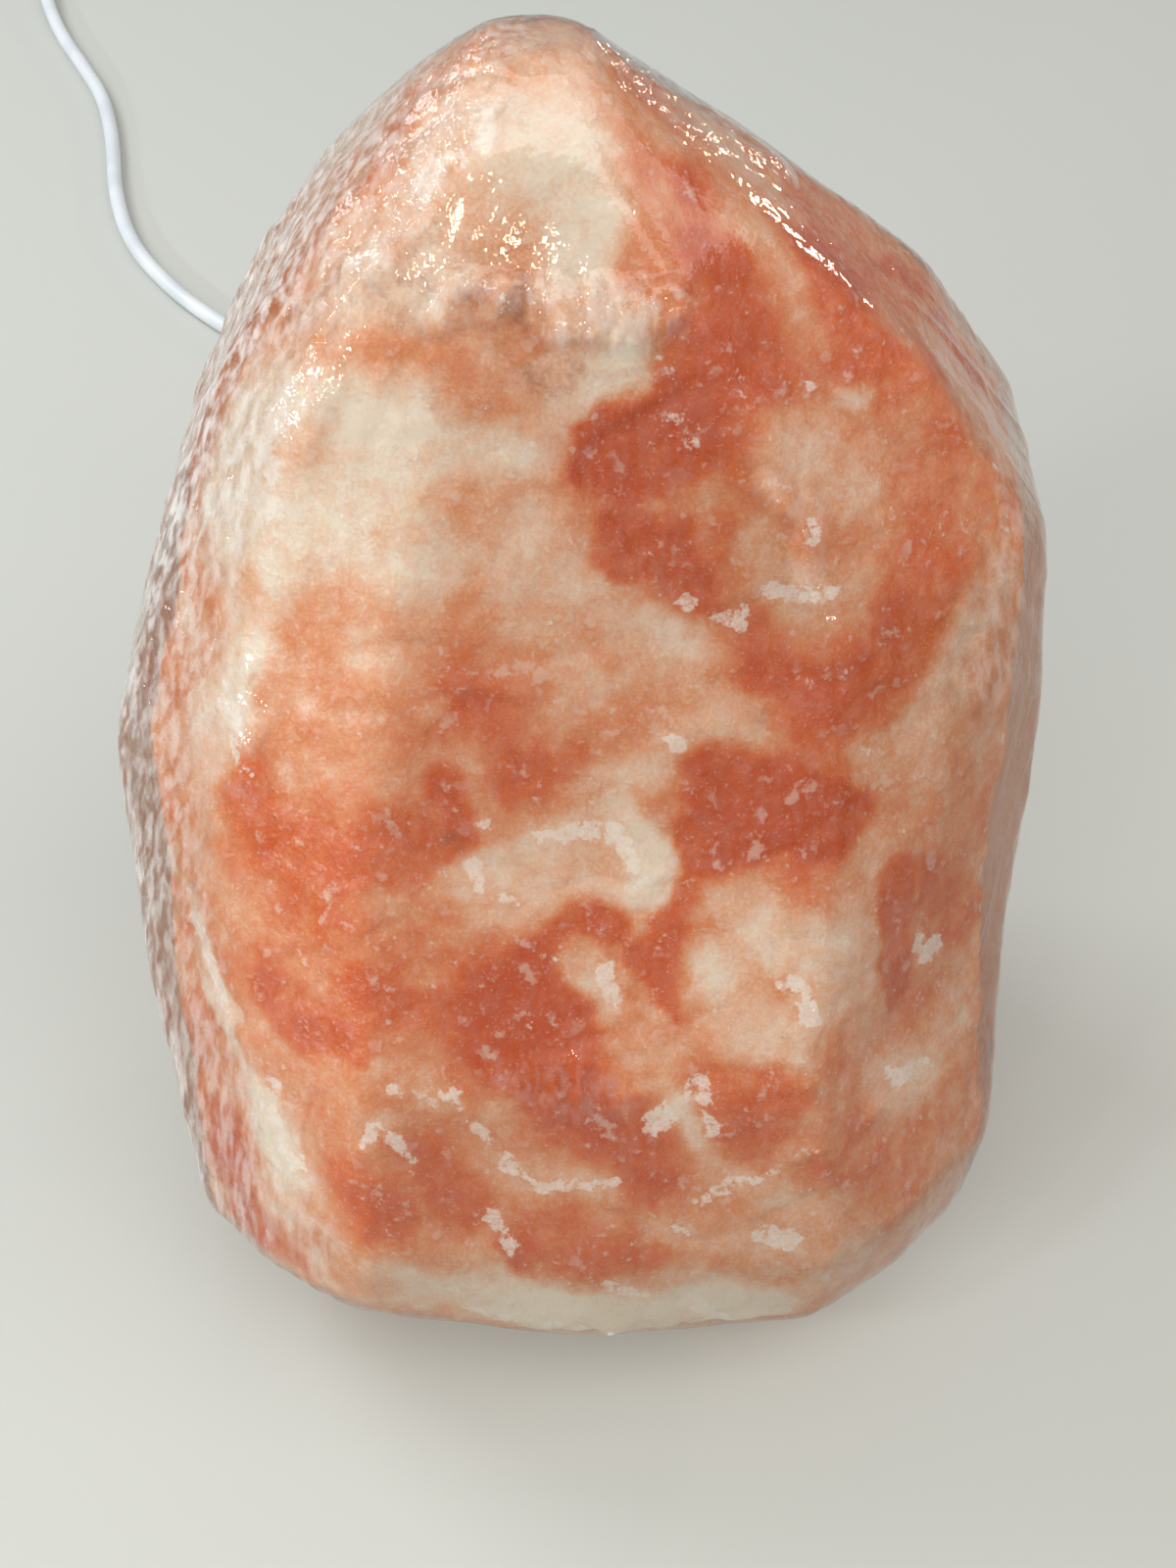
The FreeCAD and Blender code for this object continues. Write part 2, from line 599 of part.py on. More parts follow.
# Spring clip: a plate with bowed legs that press on the bore
plate_low = seat + lamp.clip_rise
plate_top = plate_low + lamp.plate_wall
clip = body("spring_clip")
turned(clip, "plate", [
    (lamp.nipple_radius + lamp.thread_play, plate_low),
    (lamp.plate_radius, plate_low),
    (lamp.plate_radius, plate_top),
    (lamp.nipple_radius + lamp.thread_play, plate_top),
])
reach = lamp.bore_radius - lamp.leg_gap - lamp.leg_width * lamp.leg_width / (lamp.bore_radius * 8.0)
leg_low = plate_top - lamp.leg_drop
leg_middle = plate_top - lamp.leg_drop / 2
drawn = sketch(clip, "leg", "XZ_Plane")
outline(drawn, [
    (lamp.plate_radius - 2.0, plate_low),
    (lamp.plate_radius - 0.5, plate_low),
    (reach - lamp.leg_wall, leg_middle + lamp.leg_drop / 6),
    (reach - lamp.leg_wall, leg_middle - lamp.leg_drop / 6),
    (reach - lamp.leg_wall - lamp.leg_curl, leg_low),
    (reach - lamp.leg_curl, leg_low),
    (reach, leg_middle - lamp.leg_drop / 6),
    (reach, leg_middle + lamp.leg_drop / 6),
    (lamp.plate_radius + 0.5, plate_top),
    (lamp.plate_radius - 2.0, plate_top),
])
leg = pad(clip, drawn, lamp.leg_width, "leg_pad", both=True)
around(clip, [leg], lamp.leg_count, "legs")
place(clip, turn=lamp.leg_angle)

nipple = body("threaded_nipple")
turned(nipple, "tube", [
    (lamp.nipple_bore, plate_low - lamp.nipple_below),
    (lamp.nipple_radius, plate_low - lamp.nipple_below),
    (lamp.nipple_radius, plate_top + lamp.nipple_above),
    (lamp.nipple_bore, plate_top + lamp.nipple_above),
])

nut = body("nipple_nut")
drawn = sketch(nut, "hexagon", lift=plate_low)
half = lamp.nut_across / 2
corner = lamp.nut_across / math.sqrt(3)
outline(drawn, [(corner, 0.0), (corner / 2, half), (-corner / 2, half),
                (-corner, 0.0), (-corner / 2, -half), (corner / 2, -half)])
circle(drawn, 0.0, 0.0, lamp.nipple_radius + lamp.thread_play)
pad(nut, drawn, lamp.nut_height, "hexagon_pad", back=True)

# Lampholder: rear cap, cord grip, wires, contact block, shell and live parts
cap_top = plate_top + lamp.cap_height
cap = body("holder_cap")
turned(cap, "cup", [
    (lamp.nipple_radius + lamp.thread_play, plate_top),
    (lamp.cap_radius - lamp.cap_dome, plate_top, lamp.cap_dome),
    (lamp.cap_radius, plate_top + lamp.cap_dome),
    (lamp.cap_radius, cap_top),
    (lamp.cap_radius - lamp.cap_wall, cap_top),
    (lamp.cap_radius - lamp.cap_wall, plate_top + lamp.cap_dome),
    (lamp.cap_radius - lamp.cap_dome, plate_top + lamp.cap_floor),
    (lamp.boss_radius, plate_top + lamp.cap_floor),
    (lamp.boss_radius, plate_top + lamp.boss_height),
    (lamp.nipple_radius + lamp.thread_play, plate_top + lamp.boss_height),
])
grip_low = plate_top + lamp.boss_height
grip_top = grip_low + lamp.grip_height
grip = body("cord_grip")
drawn = sketch(grip, "bridge", lift=grip_low)
rectangle(drawn, -lamp.grip_width / 2, -lamp.grip_depth / 2, lamp.grip_width / 2, lamp.grip_depth / 2)
circle(drawn, 0.0, 0.0, lamp.cord_radius + lamp.grip_play)
pad(grip, drawn, lamp.grip_height, "bridge_pad")

wires = body("holder_wires")
drawn = sketch(wires, "pair", lift=grip_top)
circle(drawn, lamp.wire_spread, 0.0, lamp.wire_radius)
circle(drawn, -lamp.wire_spread, 0.0, lamp.wire_radius)
pad(wires, drawn, cap_top - grip_top, "pair_pad")

insert_top = cap_top + lamp.insert_height
insert_radius = lamp.cap_radius - lamp.cap_wall - lamp.insert_play
terminal_spread = insert_radius - lamp.terminal_inset
socket_radius = lamp.thread_radius + lamp.socket_play
socket_height = lamp.shell_height - lamp.insert_height - lamp.shell_lip - lamp.socket_gap
shell_mouth = socket_radius + lamp.socket_wall + lamp.mouth_play
insert = body("holder_insert")
turned(insert, "block", [
    (0.0, cap_top),
    (insert_radius, cap_top),
    (insert_radius, cap_top + lamp.insert_height * 0.6),
    (insert_radius - 1.0, insert_top),
    (0.0, insert_top),
])
drawn = sketch(insert, "holes", lift=cap_top)
circle(drawn, 0.0, terminal_spread, lamp.terminal_radius + lamp.contact_gap)
circle(drawn, 0.0, -terminal_spread, lamp.terminal_radius + lamp.contact_gap)
pocket(insert, drawn, lamp.terminal_length + 0.5, "holes_cut")

terminals = body("terminal_screws")
terminal = turned(terminals, "screw", [
    (ZERO, cap_top - lamp.terminal_rise),
    (lamp.terminal_head, cap_top - lamp.terminal_rise),
    (lamp.terminal_head, cap_top),
    (lamp.terminal_radius, cap_top),
    (lamp.terminal_radius, cap_top + lamp.terminal_length),
    (ZERO, cap_top + lamp.terminal_length),
], middle=terminal_spread)
around(terminals, [terminal], Size(2, "2"), "pair")
place(terminals, turn=Size(90.0, "90.0"))

shell_top = cap_top + lamp.shell_height
shell = body("holder_shell")
turned(shell, "cup", [
    (lamp.cap_radius - lamp.cap_wall, cap_top),
    (lamp.cap_radius, cap_top),
    (lamp.cap_radius, cap_top + 3.0),
    (lamp.cap_radius - 0.8, cap_top + 4.0),
    (lamp.cap_radius - 0.8, shell_top - 2.0),
    (lamp.cap_radius - 2.8, shell_top),
    (shell_mouth, shell_top),
    (shell_mouth, shell_top - lamp.shell_lip),
    (lamp.cap_radius - lamp.cap_wall - 1.2, shell_top - lamp.shell_lip),
    (lamp.cap_radius - lamp.cap_wall - 1.2, insert_top + 1.0),
    (lamp.cap_radius - lamp.cap_wall, insert_top + 0.5),
])

socket = body("socket_shell")
turned(socket, "sleeve", [
    (socket_radius, insert_top),
    (socket_radius + lamp.socket_wall, insert_top),
    (socket_radius + lamp.socket_wall, insert_top + socket_height),
    (socket_radius, insert_top + socket_height),
])

centre = body("centre_contact")
drawn = sketch(centre, "strip", "XZ_Plane")
outline(drawn, [
    (-5.5, insert_top), (-3.5, insert_top), (-1.2, insert_top + lamp.contact_arch),
    (1.2, insert_top + lamp.contact_arch), (3.5, insert_top), (5.5, insert_top),
    (5.5, insert_top + lamp.contact_wall), (3.6, insert_top + lamp.contact_wall),
    (1.3, insert_top + lamp.contact_arch + lamp.contact_wall),
    (-1.3, insert_top + lamp.contact_arch + lamp.contact_wall),
    (-3.6, insert_top + lamp.contact_wall), (-5.5, insert_top + lamp.contact_wall),
])
pad(centre, drawn, lamp.contact_width, "strip_pad", both=True)

side = body("side_contact")
side_low = socket_radius + lamp.socket_wall + lamp.contact_gap
side_top = insert_top + socket_height - lamp.side_drop
drawn = sketch(side, "strip", "XZ_Plane")
outline(drawn, [
    (side_low, insert_top), (side_low + 3.0, insert_top), (side_low + 3.0, insert_top + lamp.contact_wall),
    (side_low + lamp.contact_wall, insert_top + lamp.contact_wall), (side_low + lamp.contact_wall, side_top),
    (side_low, side_top),
])
pad(side, drawn, lamp.contact_width, "strip_pad", both=True)

# Bulb
tip_low = insert_top + lamp.contact_arch + lamp.contact_wall + lamp.bulb_rest
tip_top = tip_low + lamp.tip_height
tip = body("bulb_tip")
turned(tip, "dome", [
    (0.0, tip_low),
    (lamp.tip_radius * 0.6, tip_low),
    (lamp.tip_radius, tip_low + lamp.tip_height * 0.5),
    (lamp.tip_radius, tip_top),
    (0.0, tip_top),
])
thread_low = tip_top + lamp.disc_height
insulator = body("bulb_insulator")
turned(insulator, "cone", [
    (0.0, tip_top),
    (lamp.glass_base, tip_top),
    (lamp.thread_radius - lamp.thread_wall, thread_low),
    (0.0, thread_low),
])
thread_top = thread_low + lamp.thread_height
thread = body("bulb_cap")
turned(thread, "sleeve", [
    (lamp.thread_radius - lamp.thread_wall, thread_low),
    (lamp.thread_radius, thread_low),
    (lamp.thread_radius, thread_top),
    (lamp.thread_radius - lamp.thread_wall, thread_top),
])
neck = lamp.thread_radius - lamp.thread_wall - lamp.neck_gap
neck_low = thread_top - lamp.neck_sink
shoulder = thread_top + lamp.shoulder_rise
dome_low = shoulder + lamp.bulb_body
glass_top = dome_low + lamp.bulb_dome
glass = body("bulb_glass")
turned(glass, "outside", [
    (0.0, neck_low),
    (neck, neck_low),
    (neck, thread_top),
    (lamp.bulb_radius - 1.5, shoulder - 2.5),
    (lamp.bulb_radius, shoulder),
    (lamp.bulb_radius, dome_low),
    (lamp.bulb_radius * 0.9, dome_low + lamp.bulb_dome * 0.45),
    (lamp.bulb_radius * 0.6, dome_low + lamp.bulb_dome * 0.83),
    (0.0, glass_top),
])
turned(glass, "inside", [
    (0.0, neck_low - 1.0),
    (neck - lamp.bulb_wall, neck_low - 1.0),
    (neck - lamp.bulb_wall, thread_top),
    (lamp.bulb_radius - 1.5 - lamp.bulb_wall, shoulder - 2.3),
    (lamp.bulb_radius - lamp.bulb_wall, shoulder + 0.2),
    (lamp.bulb_radius - lamp.bulb_wall, dome_low),
    (lamp.bulb_radius * 0.9 - lamp.bulb_wall, dome_low + lamp.bulb_dome * 0.45 - lamp.bulb_wall * 0.4),
    (lamp.bulb_radius * 0.6 - lamp.bulb_wall * 0.5, dome_low + lamp.bulb_dome * 0.83 - lamp.bulb_wall),
    (0.0, glass_top - lamp.bulb_wall),
], cut=True)
stem_top = neck_low + lamp.stem_height
stem = body("bulb_stem")
turned(stem, "flare", [
    (0.0, neck_low),
    (neck - lamp.bulb_wall - lamp.neck_gap, neck_low),
    (neck - lamp.bulb_wall - lamp.neck_gap, neck_low + 0.8),
    (lamp.stem_radius, neck_low + 5.0),
    (lamp.stem_radius, stem_top),
    (0.0, stem_top),
])
supports = body("bulb_supports")
drawn = sketch(supports, "leads", "XZ_Plane")
lead_top = stem_top + lamp.lead_rise
for sign in (1.0, -1.0):
    inner = lamp.lead_spread * sign
    outer = lamp.filament_reach * sign
    outline(drawn, [
        (inner - lamp.lead_radius, stem_top), (inner + lamp.lead_radius, stem_top),
        (outer + lamp.lead_radius, lead_top), (outer - lamp.lead_radius, lead_top),
    ])
pad(supports, drawn, lamp.lead_radius * 2, "leads_pad", both=True)
filament = body("bulb_filament")
drawn = sketch(filament, "arch", "XZ_Plane")
outline(drawn, [
    (-lamp.filament_reach - lamp.filament_wire, lead_top),
    (-lamp.filament_reach + lamp.filament_wire, lead_top),
    (-lamp.filament_reach * 0.55, lead_top + lamp.filament_reach * 0.5 - lamp.filament_wire),
    (lamp.filament_reach * 0.55, lead_top + lamp.filament_reach * 0.5 - lamp.filament_wire),
    (lamp.filament_reach - lamp.filament_wire, lead_top),
    (lamp.filament_reach + lamp.filament_wire, lead_top),
    (lamp.filament_reach * 0.6, lead_top + lamp.filament_reach * 0.5 + lamp.filament_wire),
    (-lamp.filament_reach * 0.6, lead_top + lamp.filament_reach * 0.5 + lamp.filament_wire),
])
pad(filament, drawn, lamp.filament_wire * 2, "arch_pad", both=True)

# Saddle over the cord, under the base
saddle = body("cord_clip")
drawn = sketch(saddle, "strap", lift=base_low)
saddle_near, saddle_far = saddle_place - lamp.saddle_width / 2, saddle_place + lamp.saddle_width / 2
rectangle(drawn, saddle_near, -lamp.saddle_half, saddle_far, lamp.saddle_half)
circle(drawn, saddle_place, lamp.saddle_screw, lamp.tack_radius + lamp.screw_play)
circle(drawn, saddle_place, -lamp.saddle_screw, lamp.tack_radius + lamp.screw_play)
pad(saddle, drawn, lamp.saddle_wall, "strap_pad", back=True)
place(saddle, turn=lamp.groove_angle)
tacks = body("clip_screws")
tack_seat = base_low - lamp.saddle_wall
for name, offset in (("left", lamp.saddle_screw), ("right", -lamp.saddle_screw)):
    drawn = sketch(tacks, name + "_head", lift=tack_seat)
    circle(drawn, saddle_place, offset, lamp.tack_head)
    pad(tacks, drawn, lamp.tack_rise, name + "_head_pad", back=True)
    drawn = sketch(tacks, name + "_shank", lift=tack_seat)
    circle(drawn, saddle_place, offset, lamp.tack_radius)
    pad(tacks, drawn, lamp.saddle_wall + lamp.tack_bite, name + "_shank_pad")
place(tacks, turn=lamp.groove_angle)

# In-line switch, along +Y about its own middle


def rounded(drawn, wide, long, radius):
    """Draw a rectangle with rounded corners about the sketch's origin."""
    outline(drawn, [
        (wide, -(long - radius)), (wide, long - radius, radius),
        (wide - radius, long), (-(wide - radius), long, radius),
        (-wide, long - radius), (-wide, -(long - radius), radius),
        (-(wide - radius), -long), (wide - radius, -long, radius),
    ])


def posts(piece, low, high, name):
    """Add the two screw posts of a shell."""
    drawn = sketch(piece, name, lift=low)
    circle(drawn, post_x, post_y, lamp.post_radius)
    circle(drawn, -post_x, -post_y, lamp.post_radius)
    pad(piece, drawn, high - low, name + "_pad")


def post_holes(piece, low, length, radius, name):
    """Cut the holes of the two switch screws."""
    drawn = sketch(piece, name, lift=low)
    circle(drawn, post_x, post_y, radius)
    circle(drawn, -post_x, -post_y, radius)
    pocket(piece, drawn, length, name + "_cut")


post_x = lamp.switch_half - lamp.post_side
post_y = lamp.switch_reach - lamp.post_end
switch_top_z = lamp.switch_split + lamp.switch_rise
room_half = lamp.switch_half - lamp.switch_wall
room_reach = lamp.switch_reach - lamp.switch_wall
room_corner = lamp.switch_corner - lamp.switch_wall
lower = body("switch_bottom")
drawn = sketch(lower, "outline")
rounded(drawn, lamp.switch_half, lamp.switch_reach, lamp.switch_corner)
pad(lower, drawn, lamp.switch_split, "block")
drawn = sketch(lower, "room", lift=lamp.switch_wall)
rounded(drawn, room_half, room_reach, room_corner)
pocket(lower, drawn, lamp.switch_split - lamp.switch_wall, "room_cut")
posts(lower, lamp.switch_wall * 0.5, lamp.switch_split, "posts")
post_holes(lower, ZERO, lamp.switch_split, lamp.rivet_radius + lamp.screw_play, "post_holes")
post_holes(lower, ZERO, lamp.rivet_rise + 0.5, lamp.rivet_head + 0.3, "sinks")
drawn = sketch(lower, "ends", "XZ_Plane")
circle(drawn, 0.0, lamp.switch_split, lamp.boot_neck + lamp.boot_play)
pocket(lower, drawn, lamp.switch_reach * 2 + 2.0, "ends_cut", both=True)
place(lower, lamp.switch_x, lamp.switch_y)

upper = body("switch_top")
drawn = sketch(upper, "outline", lift=lamp.switch_split)
rounded(drawn, lamp.switch_half, lamp.switch_reach, lamp.switch_corner)
pad(upper, drawn, lamp.switch_rise - lamp.switch_round, "block")
drawn = sketch(upper, "crown", lift=switch_top_z - lamp.switch_round)
rounded(drawn, lamp.switch_half, lamp.switch_reach, lamp.switch_corner)
crown = pad(upper, drawn, lamp.switch_round, "crown_pad")
crown.TaperAngle = -35.0
drawn = sketch(upper, "room", lift=lamp.switch_split)
rounded(drawn, room_half, room_reach, room_corner)
pocket(upper, drawn, lamp.switch_rise - lamp.switch_wall, "room_cut")
posts(upper, lamp.switch_split, switch_top_z - lamp.switch_wall * 0.5, "posts")
post_holes(upper, lamp.switch_split, lamp.rivet_grip + 0.5, lamp.rivet_radius + lamp.screw_play, "post_holes")
window = lamp.rocker_width / 2 + lamp.window_play
pin_z = switch_top_z - lamp.pin_drop
drawn = sketch(upper, "window", lift=switch_top_z - lamp.switch_wall * 2)
window_half = lamp.rocker_half + lamp.window_room
rectangle(drawn, -window, -window_half, window, window_half)
pocket(upper, drawn, lamp.switch_wall * 3, "window_cut")
drawn = sketch(upper, "ears", lift=pin_z - lamp.ear_half)
for sign in (1.0, -1.0):
    near, far = window * sign, (window + lamp.ear_wall) * sign
    left, right = (near, far) if sign > 0 else (far, near)
    rectangle(drawn, left, -lamp.ear_half, right, lamp.ear_half)
pad(upper, drawn, lamp.ear_half + lamp.pin_drop - lamp.switch_wall * 0.5, "ears_pad")
drawn = sketch(upper, "pin_hole", "YZ_Plane")
circle(drawn, 0.0, pin_z, lamp.pin_radius + lamp.pin_play)
pocket(upper, drawn, (window + lamp.ear_wall) * 2, "pin_hole_cut", both=True)
drawn = sketch(upper, "ends", "XZ_Plane")
circle(drawn, 0.0, lamp.switch_split, lamp.boot_neck + lamp.boot_play)
pocket(upper, drawn, lamp.switch_reach * 2 + 2.0, "ends_cut", both=True)
place(upper, lamp.switch_x, lamp.switch_y)

rocker = body("switch_rocker")
drawn = sketch(rocker, "side", "YZ_Plane")
outline(drawn, [
    (-lamp.rocker_half * 0.3, -lamp.rocker_under), (lamp.rocker_half * 0.3, -lamp.rocker_under),
    (lamp.rocker_half * 0.85, -1.2), (lamp.rocker_half, lamp.rocker_ends * 0.5),
    (lamp.rocker_half, lamp.rocker_ends), (0.0, lamp.rocker_dip), (-lamp.rocker_half, lamp.rocker_ends),
    (-lamp.rocker_half, lamp.rocker_ends * 0.5), (-lamp.rocker_half * 0.85, -1.2),
])
pad(rocker, drawn, lamp.rocker_width, "side_pad", both=True)
drawn = sketch(rocker, "hole", "YZ_Plane")
circle(drawn, 0.0, 0.0, lamp.pin_radius + lamp.pin_play)
pocket(rocker, drawn, lamp.rocker_width + 2.0, "hole_cut", both=True)
place(rocker, lamp.switch_x, lamp.switch_y, pin_z, turn=lamp.rocker_tilt, axis=Vector(1, 0, 0))

pivot = body("switch_pin")
drawn = sketch(pivot, "round", "YZ_Plane")
circle(drawn, 0.0, 0.0, lamp.pin_radius)
pad(pivot, drawn, (window + lamp.ear_wall) * 2, "round_pad", both=True)
place(pivot, lamp.switch_x, lamp.switch_y, pin_z)

blade_far = lamp.switch_reach - lamp.blade_inset
blade_top = lamp.switch_wall + lamp.blade_rise
blades = body("switch_contacts")
drawn = sketch(blades, "blade", "YZ_Plane")
outline(drawn, [
    (lamp.blade_near, blade_top), (lamp.blade_near + 3.0, blade_top), (lamp.blade_near + 5.0, lamp.switch_wall),
    (blade_far, lamp.switch_wall), (blade_far, lamp.switch_wall + lamp.blade_wall),
    (lamp.blade_near + 5.4, lamp.switch_wall + lamp.blade_wall),
    (lamp.blade_near + 3.4, blade_top + lamp.blade_wall), (lamp.blade_near, blade_top + lamp.blade_wall),
])
blade = pad(blades, drawn, lamp.blade_half * 2, "blade_pad", both=True)
around(blades, [blade], Size(2, "2"), "pair")
place(blades, lamp.switch_x, lamp.switch_y)

rivets = body("switch_screws")
rivet_seat = lamp.rivet_rise + 0.5
for name, radius, low, high in (
    ("heads", lamp.rivet_head, rivet_seat - lamp.rivet_rise, rivet_seat),
    ("shanks", lamp.rivet_radius, rivet_seat, lamp.switch_split + lamp.rivet_grip),
):
    drawn = sketch(rivets, name, lift=low)
    circle(drawn, post_x, post_y, radius)
    circle(drawn, -post_x, -post_y, radius)
    pad(rivets, drawn, high - low, name + "_pad")
place(rivets, lamp.switch_x, lamp.switch_y)


def boot(piece, face, inside, length, ways):
    """Turn a tapered strain relief about +Y, from its neck in a housing out to its tip."""
    bore = lamp.cord_radius + lamp.grip_play
    back = face - inside
    points = [(back, bore), (back, lamp.boot_neck + 1.0), (back + 1.2, lamp.boot_neck + 1.0),
              (back + 1.2, lamp.boot_neck), (face, lamp.boot_neck), (face, lamp.boot_radius)]
    if ways == 1:
        points = [(face, bore), (face, lamp.boot_radius)]
    count = int(lamp.boot_rings.value)
    step = length / (count + 1)
    for ring in range(1, count + 1):
        middle = face + step * ring
        skin = lamp.boot_radius - (lamp.boot_radius - lamp.boot_tip) * (ring / (count + 1.0))
        points += [(middle - step * 0.25, skin), (middle - step * 0.18, skin - lamp.boot_groove),
                   (middle + step * 0.18, skin - lamp.boot_groove), (middle + step * 0.25, skin)]
    points += [(face + length, lamp.boot_tip), (face + length, bore)]
    made = turned(piece, "boot", points, plane="YZ_Plane", axis="H_Axis")
    if ways == 2:
        around(piece, [made], Size(2, "2"), "pair")
    return made


reliefs = body("switch_reliefs")
boot(reliefs, lamp.switch_reach, lamp.switch_wall + 1.4, lamp.boot_length, 2)
place(reliefs, lamp.switch_x, lamp.switch_y, lamp.switch_split)

# Flat plug, its pins along its own +Y


def face_section(piece, name, back, width, thick):
    """Draw an eight-sided section of the plug, some way behind its face."""
    drawn = sketch(piece, name, "XZ_Plane", lift=back)
    half_wide, half_high, flank = width / 2, thick / 2, lamp.plug_flank / 2
    bevel = half_high - flank
    outline(drawn, [
        (half_wide, -flank), (half_wide, flank), (half_wide - bevel, half_high), (bevel - half_wide, half_high),
        (-half_wide, flank), (-half_wide, -flank), (bevel - half_wide, -half_high),
        (half_wide - bevel, -half_high),
    ])
    return drawn


plug_z = lamp.plug_thick / 2
plug = body("plug_body")
drawn = [
    face_section(plug, "face", ZERO, lamp.plug_width, lamp.plug_thick),
    face_section(plug, "block", lamp.plug_block, lamp.plug_width, lamp.plug_thick),
    face_section(plug, "waist", lamp.waist_place, lamp.plug_waist, lamp.plug_thick),
    face_section(plug, "rear", lamp.plug_length, lamp.plug_tail, lamp.tail_thick),
]
made = feature("AdditiveLoft", plug, drawn[0], "loft")
made.Sections = drawn[1:]
made.Ruled = True
place(plug, lamp.plug_x, lamp.plug_y, plug_z, turn=lamp.plug_angle)

prongs = body("plug_pins")
prong = turned(prongs, "pin", [
    (ZERO, 0.0),
    (lamp.prong_core, 0.0),
    (lamp.prong_core, lamp.sleeve_length),
    (lamp.prong_radius, lamp.sleeve_length),
    (lamp.prong_radius, lamp.prong_length - lamp.prong_nose),
    (lamp.prong_radius - lamp.prong_nose * 0.7, lamp.prong_length),
    (ZERO, lamp.prong_length),
], plane="XY_Plane", middle=lamp.prong_spread / 2)
around(prongs, [prong], Size(2, "2"), "pair", "Y_Axis")
place(prongs, lamp.plug_x, lamp.plug_y, plug_z, turn=lamp.plug_angle)

sleeves = body("pin_sleeves")
sleeve = turned(sleeves, "sleeve", [
    (lamp.prong_core + lamp.sleeve_play, 0.0),
    (lamp.prong_radius, 0.0),
    (lamp.prong_radius, lamp.sleeve_length),
    (lamp.prong_core + lamp.sleeve_play, lamp.sleeve_length),
], plane="XY_Plane", middle=lamp.prong_spread / 2)
around(sleeves, [sleeve], Size(2, "2"), "pair", "Y_Axis")
place(sleeves, lamp.plug_x, lamp.plug_y, plug_z, turn=lamp.plug_angle)

plug_boot_piece = body("plug_relief")
boot(plug_boot_piece, lamp.plug_length, ZERO, lamp.plug_boot, 1)
turn_back = lamp.plug_angle + 180.0
place(plug_boot_piece, lamp.plug_x, lamp.plug_y, plug_z, turn=turn_back)

doc.recompute()

# Cord: tubes along straight runs and tangent arcs, and a coil of half turns in two layers


def wanted(label, shape):
    """Add a piece whose shape comes from a path, and check it."""
    piece = doc.addObject("Part::Feature", label)
    piece.Shape = shape
    pieces.append(piece)
    return piece


def tube(label, route):
    """Sweep the cord's round section along straight runs joined by tangent arcs."""
    radius = lamp.cord_radius.value
    spots = [Vector(*point) for point in route]
    edges, start, radii, length = [], spots[0], [], 0.0
    for before, here, after in zip(spots, spots[1:], spots[2:]):
        back, ahead = before - here, after - here
        run = 0.45 * min(back.Length, ahead.Length)
        half_turn = (math.pi - back.getAngle(ahead)) / 2
        bend = run / math.tan(half_turn)
        back.normalize()
        ahead.normalize()
        enter, leave = here + back * run, here + ahead * run
        inward = (back + ahead).normalize()
        middle = here + inward * (bend / math.cos(half_turn) - bend)
        edges += [Part.LineSegment(start, enter).toShape(), Part.Arc(enter, middle, leave).toShape()]
        radii.append(bend)
        start = leave
    edges.append(Part.LineSegment(start, spots[-1]).toShape())
    path = Part.Wire(edges)
    ring = Part.Wire([Part.Circle(spots[0], spots[1] - spots[0], radius).toShape()])
    solid = path.makePipeShell([ring], True, False)
    solid = solid if solid.ShapeType == "Solid" else Part.Solid(Part.Shell(solid.Faces))
    length = path.Length
    print("%s: length %.1f, least radius %.1f, volume over section times length %.4f" % (
        label, length, min(radii), solid.Volume / (math.pi * radius ** 2 * length)))
    wanted(label, solid)
    return length


def arc_to(start, heading, end):
    """Return the arc that leaves a point along a heading and ends at another point."""
    chord = end - start
    across = (chord - heading * chord.dot(heading)).normalize()
    radius = chord.dot(chord) / (2 * chord.dot(across))
    middle = start + across * radius
    out = ((start - middle) + (end - middle)).normalize() * radius
    return Part.Arc(start, middle + out, end).toShape()


def coil(label, spot):
    """Wind the coil: in on the lower layer, a climbing half turn, and out again on the upper one."""
    radius, pitch, inner = lamp.cord_radius.value, lamp.coil_pitch.value, lamp.coil_inner.value
    turns = int(lamp.coil_turns.value)
    edges = [Part.LineSegment(spot - Vector(0, 2 * radius, 0), spot).toShape()]
    for half_turn in range(2 * turns + 1):
        size = inner + abs(half_turn - turns) * pitch / 2
        side = 1.0 if half_turn % 2 == 0 else -1.0
        heading = Vector(0, side, 0)
        end = spot + Vector(2 * size * side, 0, 0)
        if half_turn == turns:
            end = end + Vector(0, 0, pitch)
            join = (spot + end) / 2 + heading * ((end - spot).Length / 2)
            edges.append(arc_to(spot, heading, join))
            last = arc_to(end, heading, join)
            halfway = last.valueAt((last.FirstParameter + last.LastParameter) / 2)
            edges.append(Part.Arc(join, halfway, end).toShape())
        else:
            middle = (spot + end) / 2 + heading * size
            edges.append(Part.Arc(spot, middle, end).toShape())
        spot = end
    edges.append(Part.LineSegment(spot, spot - Vector(0, 2 * radius, 0)).toShape())
    path = Part.Wire(edges)
    begin = edges[0].Vertexes[0].Point
    ring = Part.Wire([Part.Circle(begin, Vector(0, 1, 0), radius).toShape()])
    solid = path.makePipeShell([ring], True, False)
    solid = solid if solid.ShapeType == "Solid" else Part.Solid(Part.Shell(solid.Faces))
    points, steps = [], []
    for edge in path.OrderedEdges:
        points += edge.discretize(Distance=1.5)[:-1]
    for before, here in zip(points, points[1:]):
        steps.append(((steps[-1] if steps else 0.0)) + (here - before).Length)
    steps = [0.0] + steps
    least = min((first - points[other]).Length
                for index, first in enumerate(points)
                for other in range(index + 1, len(points))
                if steps[other] - steps[index] > 8 * radius)
    print("%s: length %.1f, least gap to itself %.2f, volume over section times length %.4f" % (
        label, path.Length, least - 2 * radius, solid.Volume / (math.pi * radius ** 2 * path.Length)))
    wanted(label, solid)
    return path.Length, spot


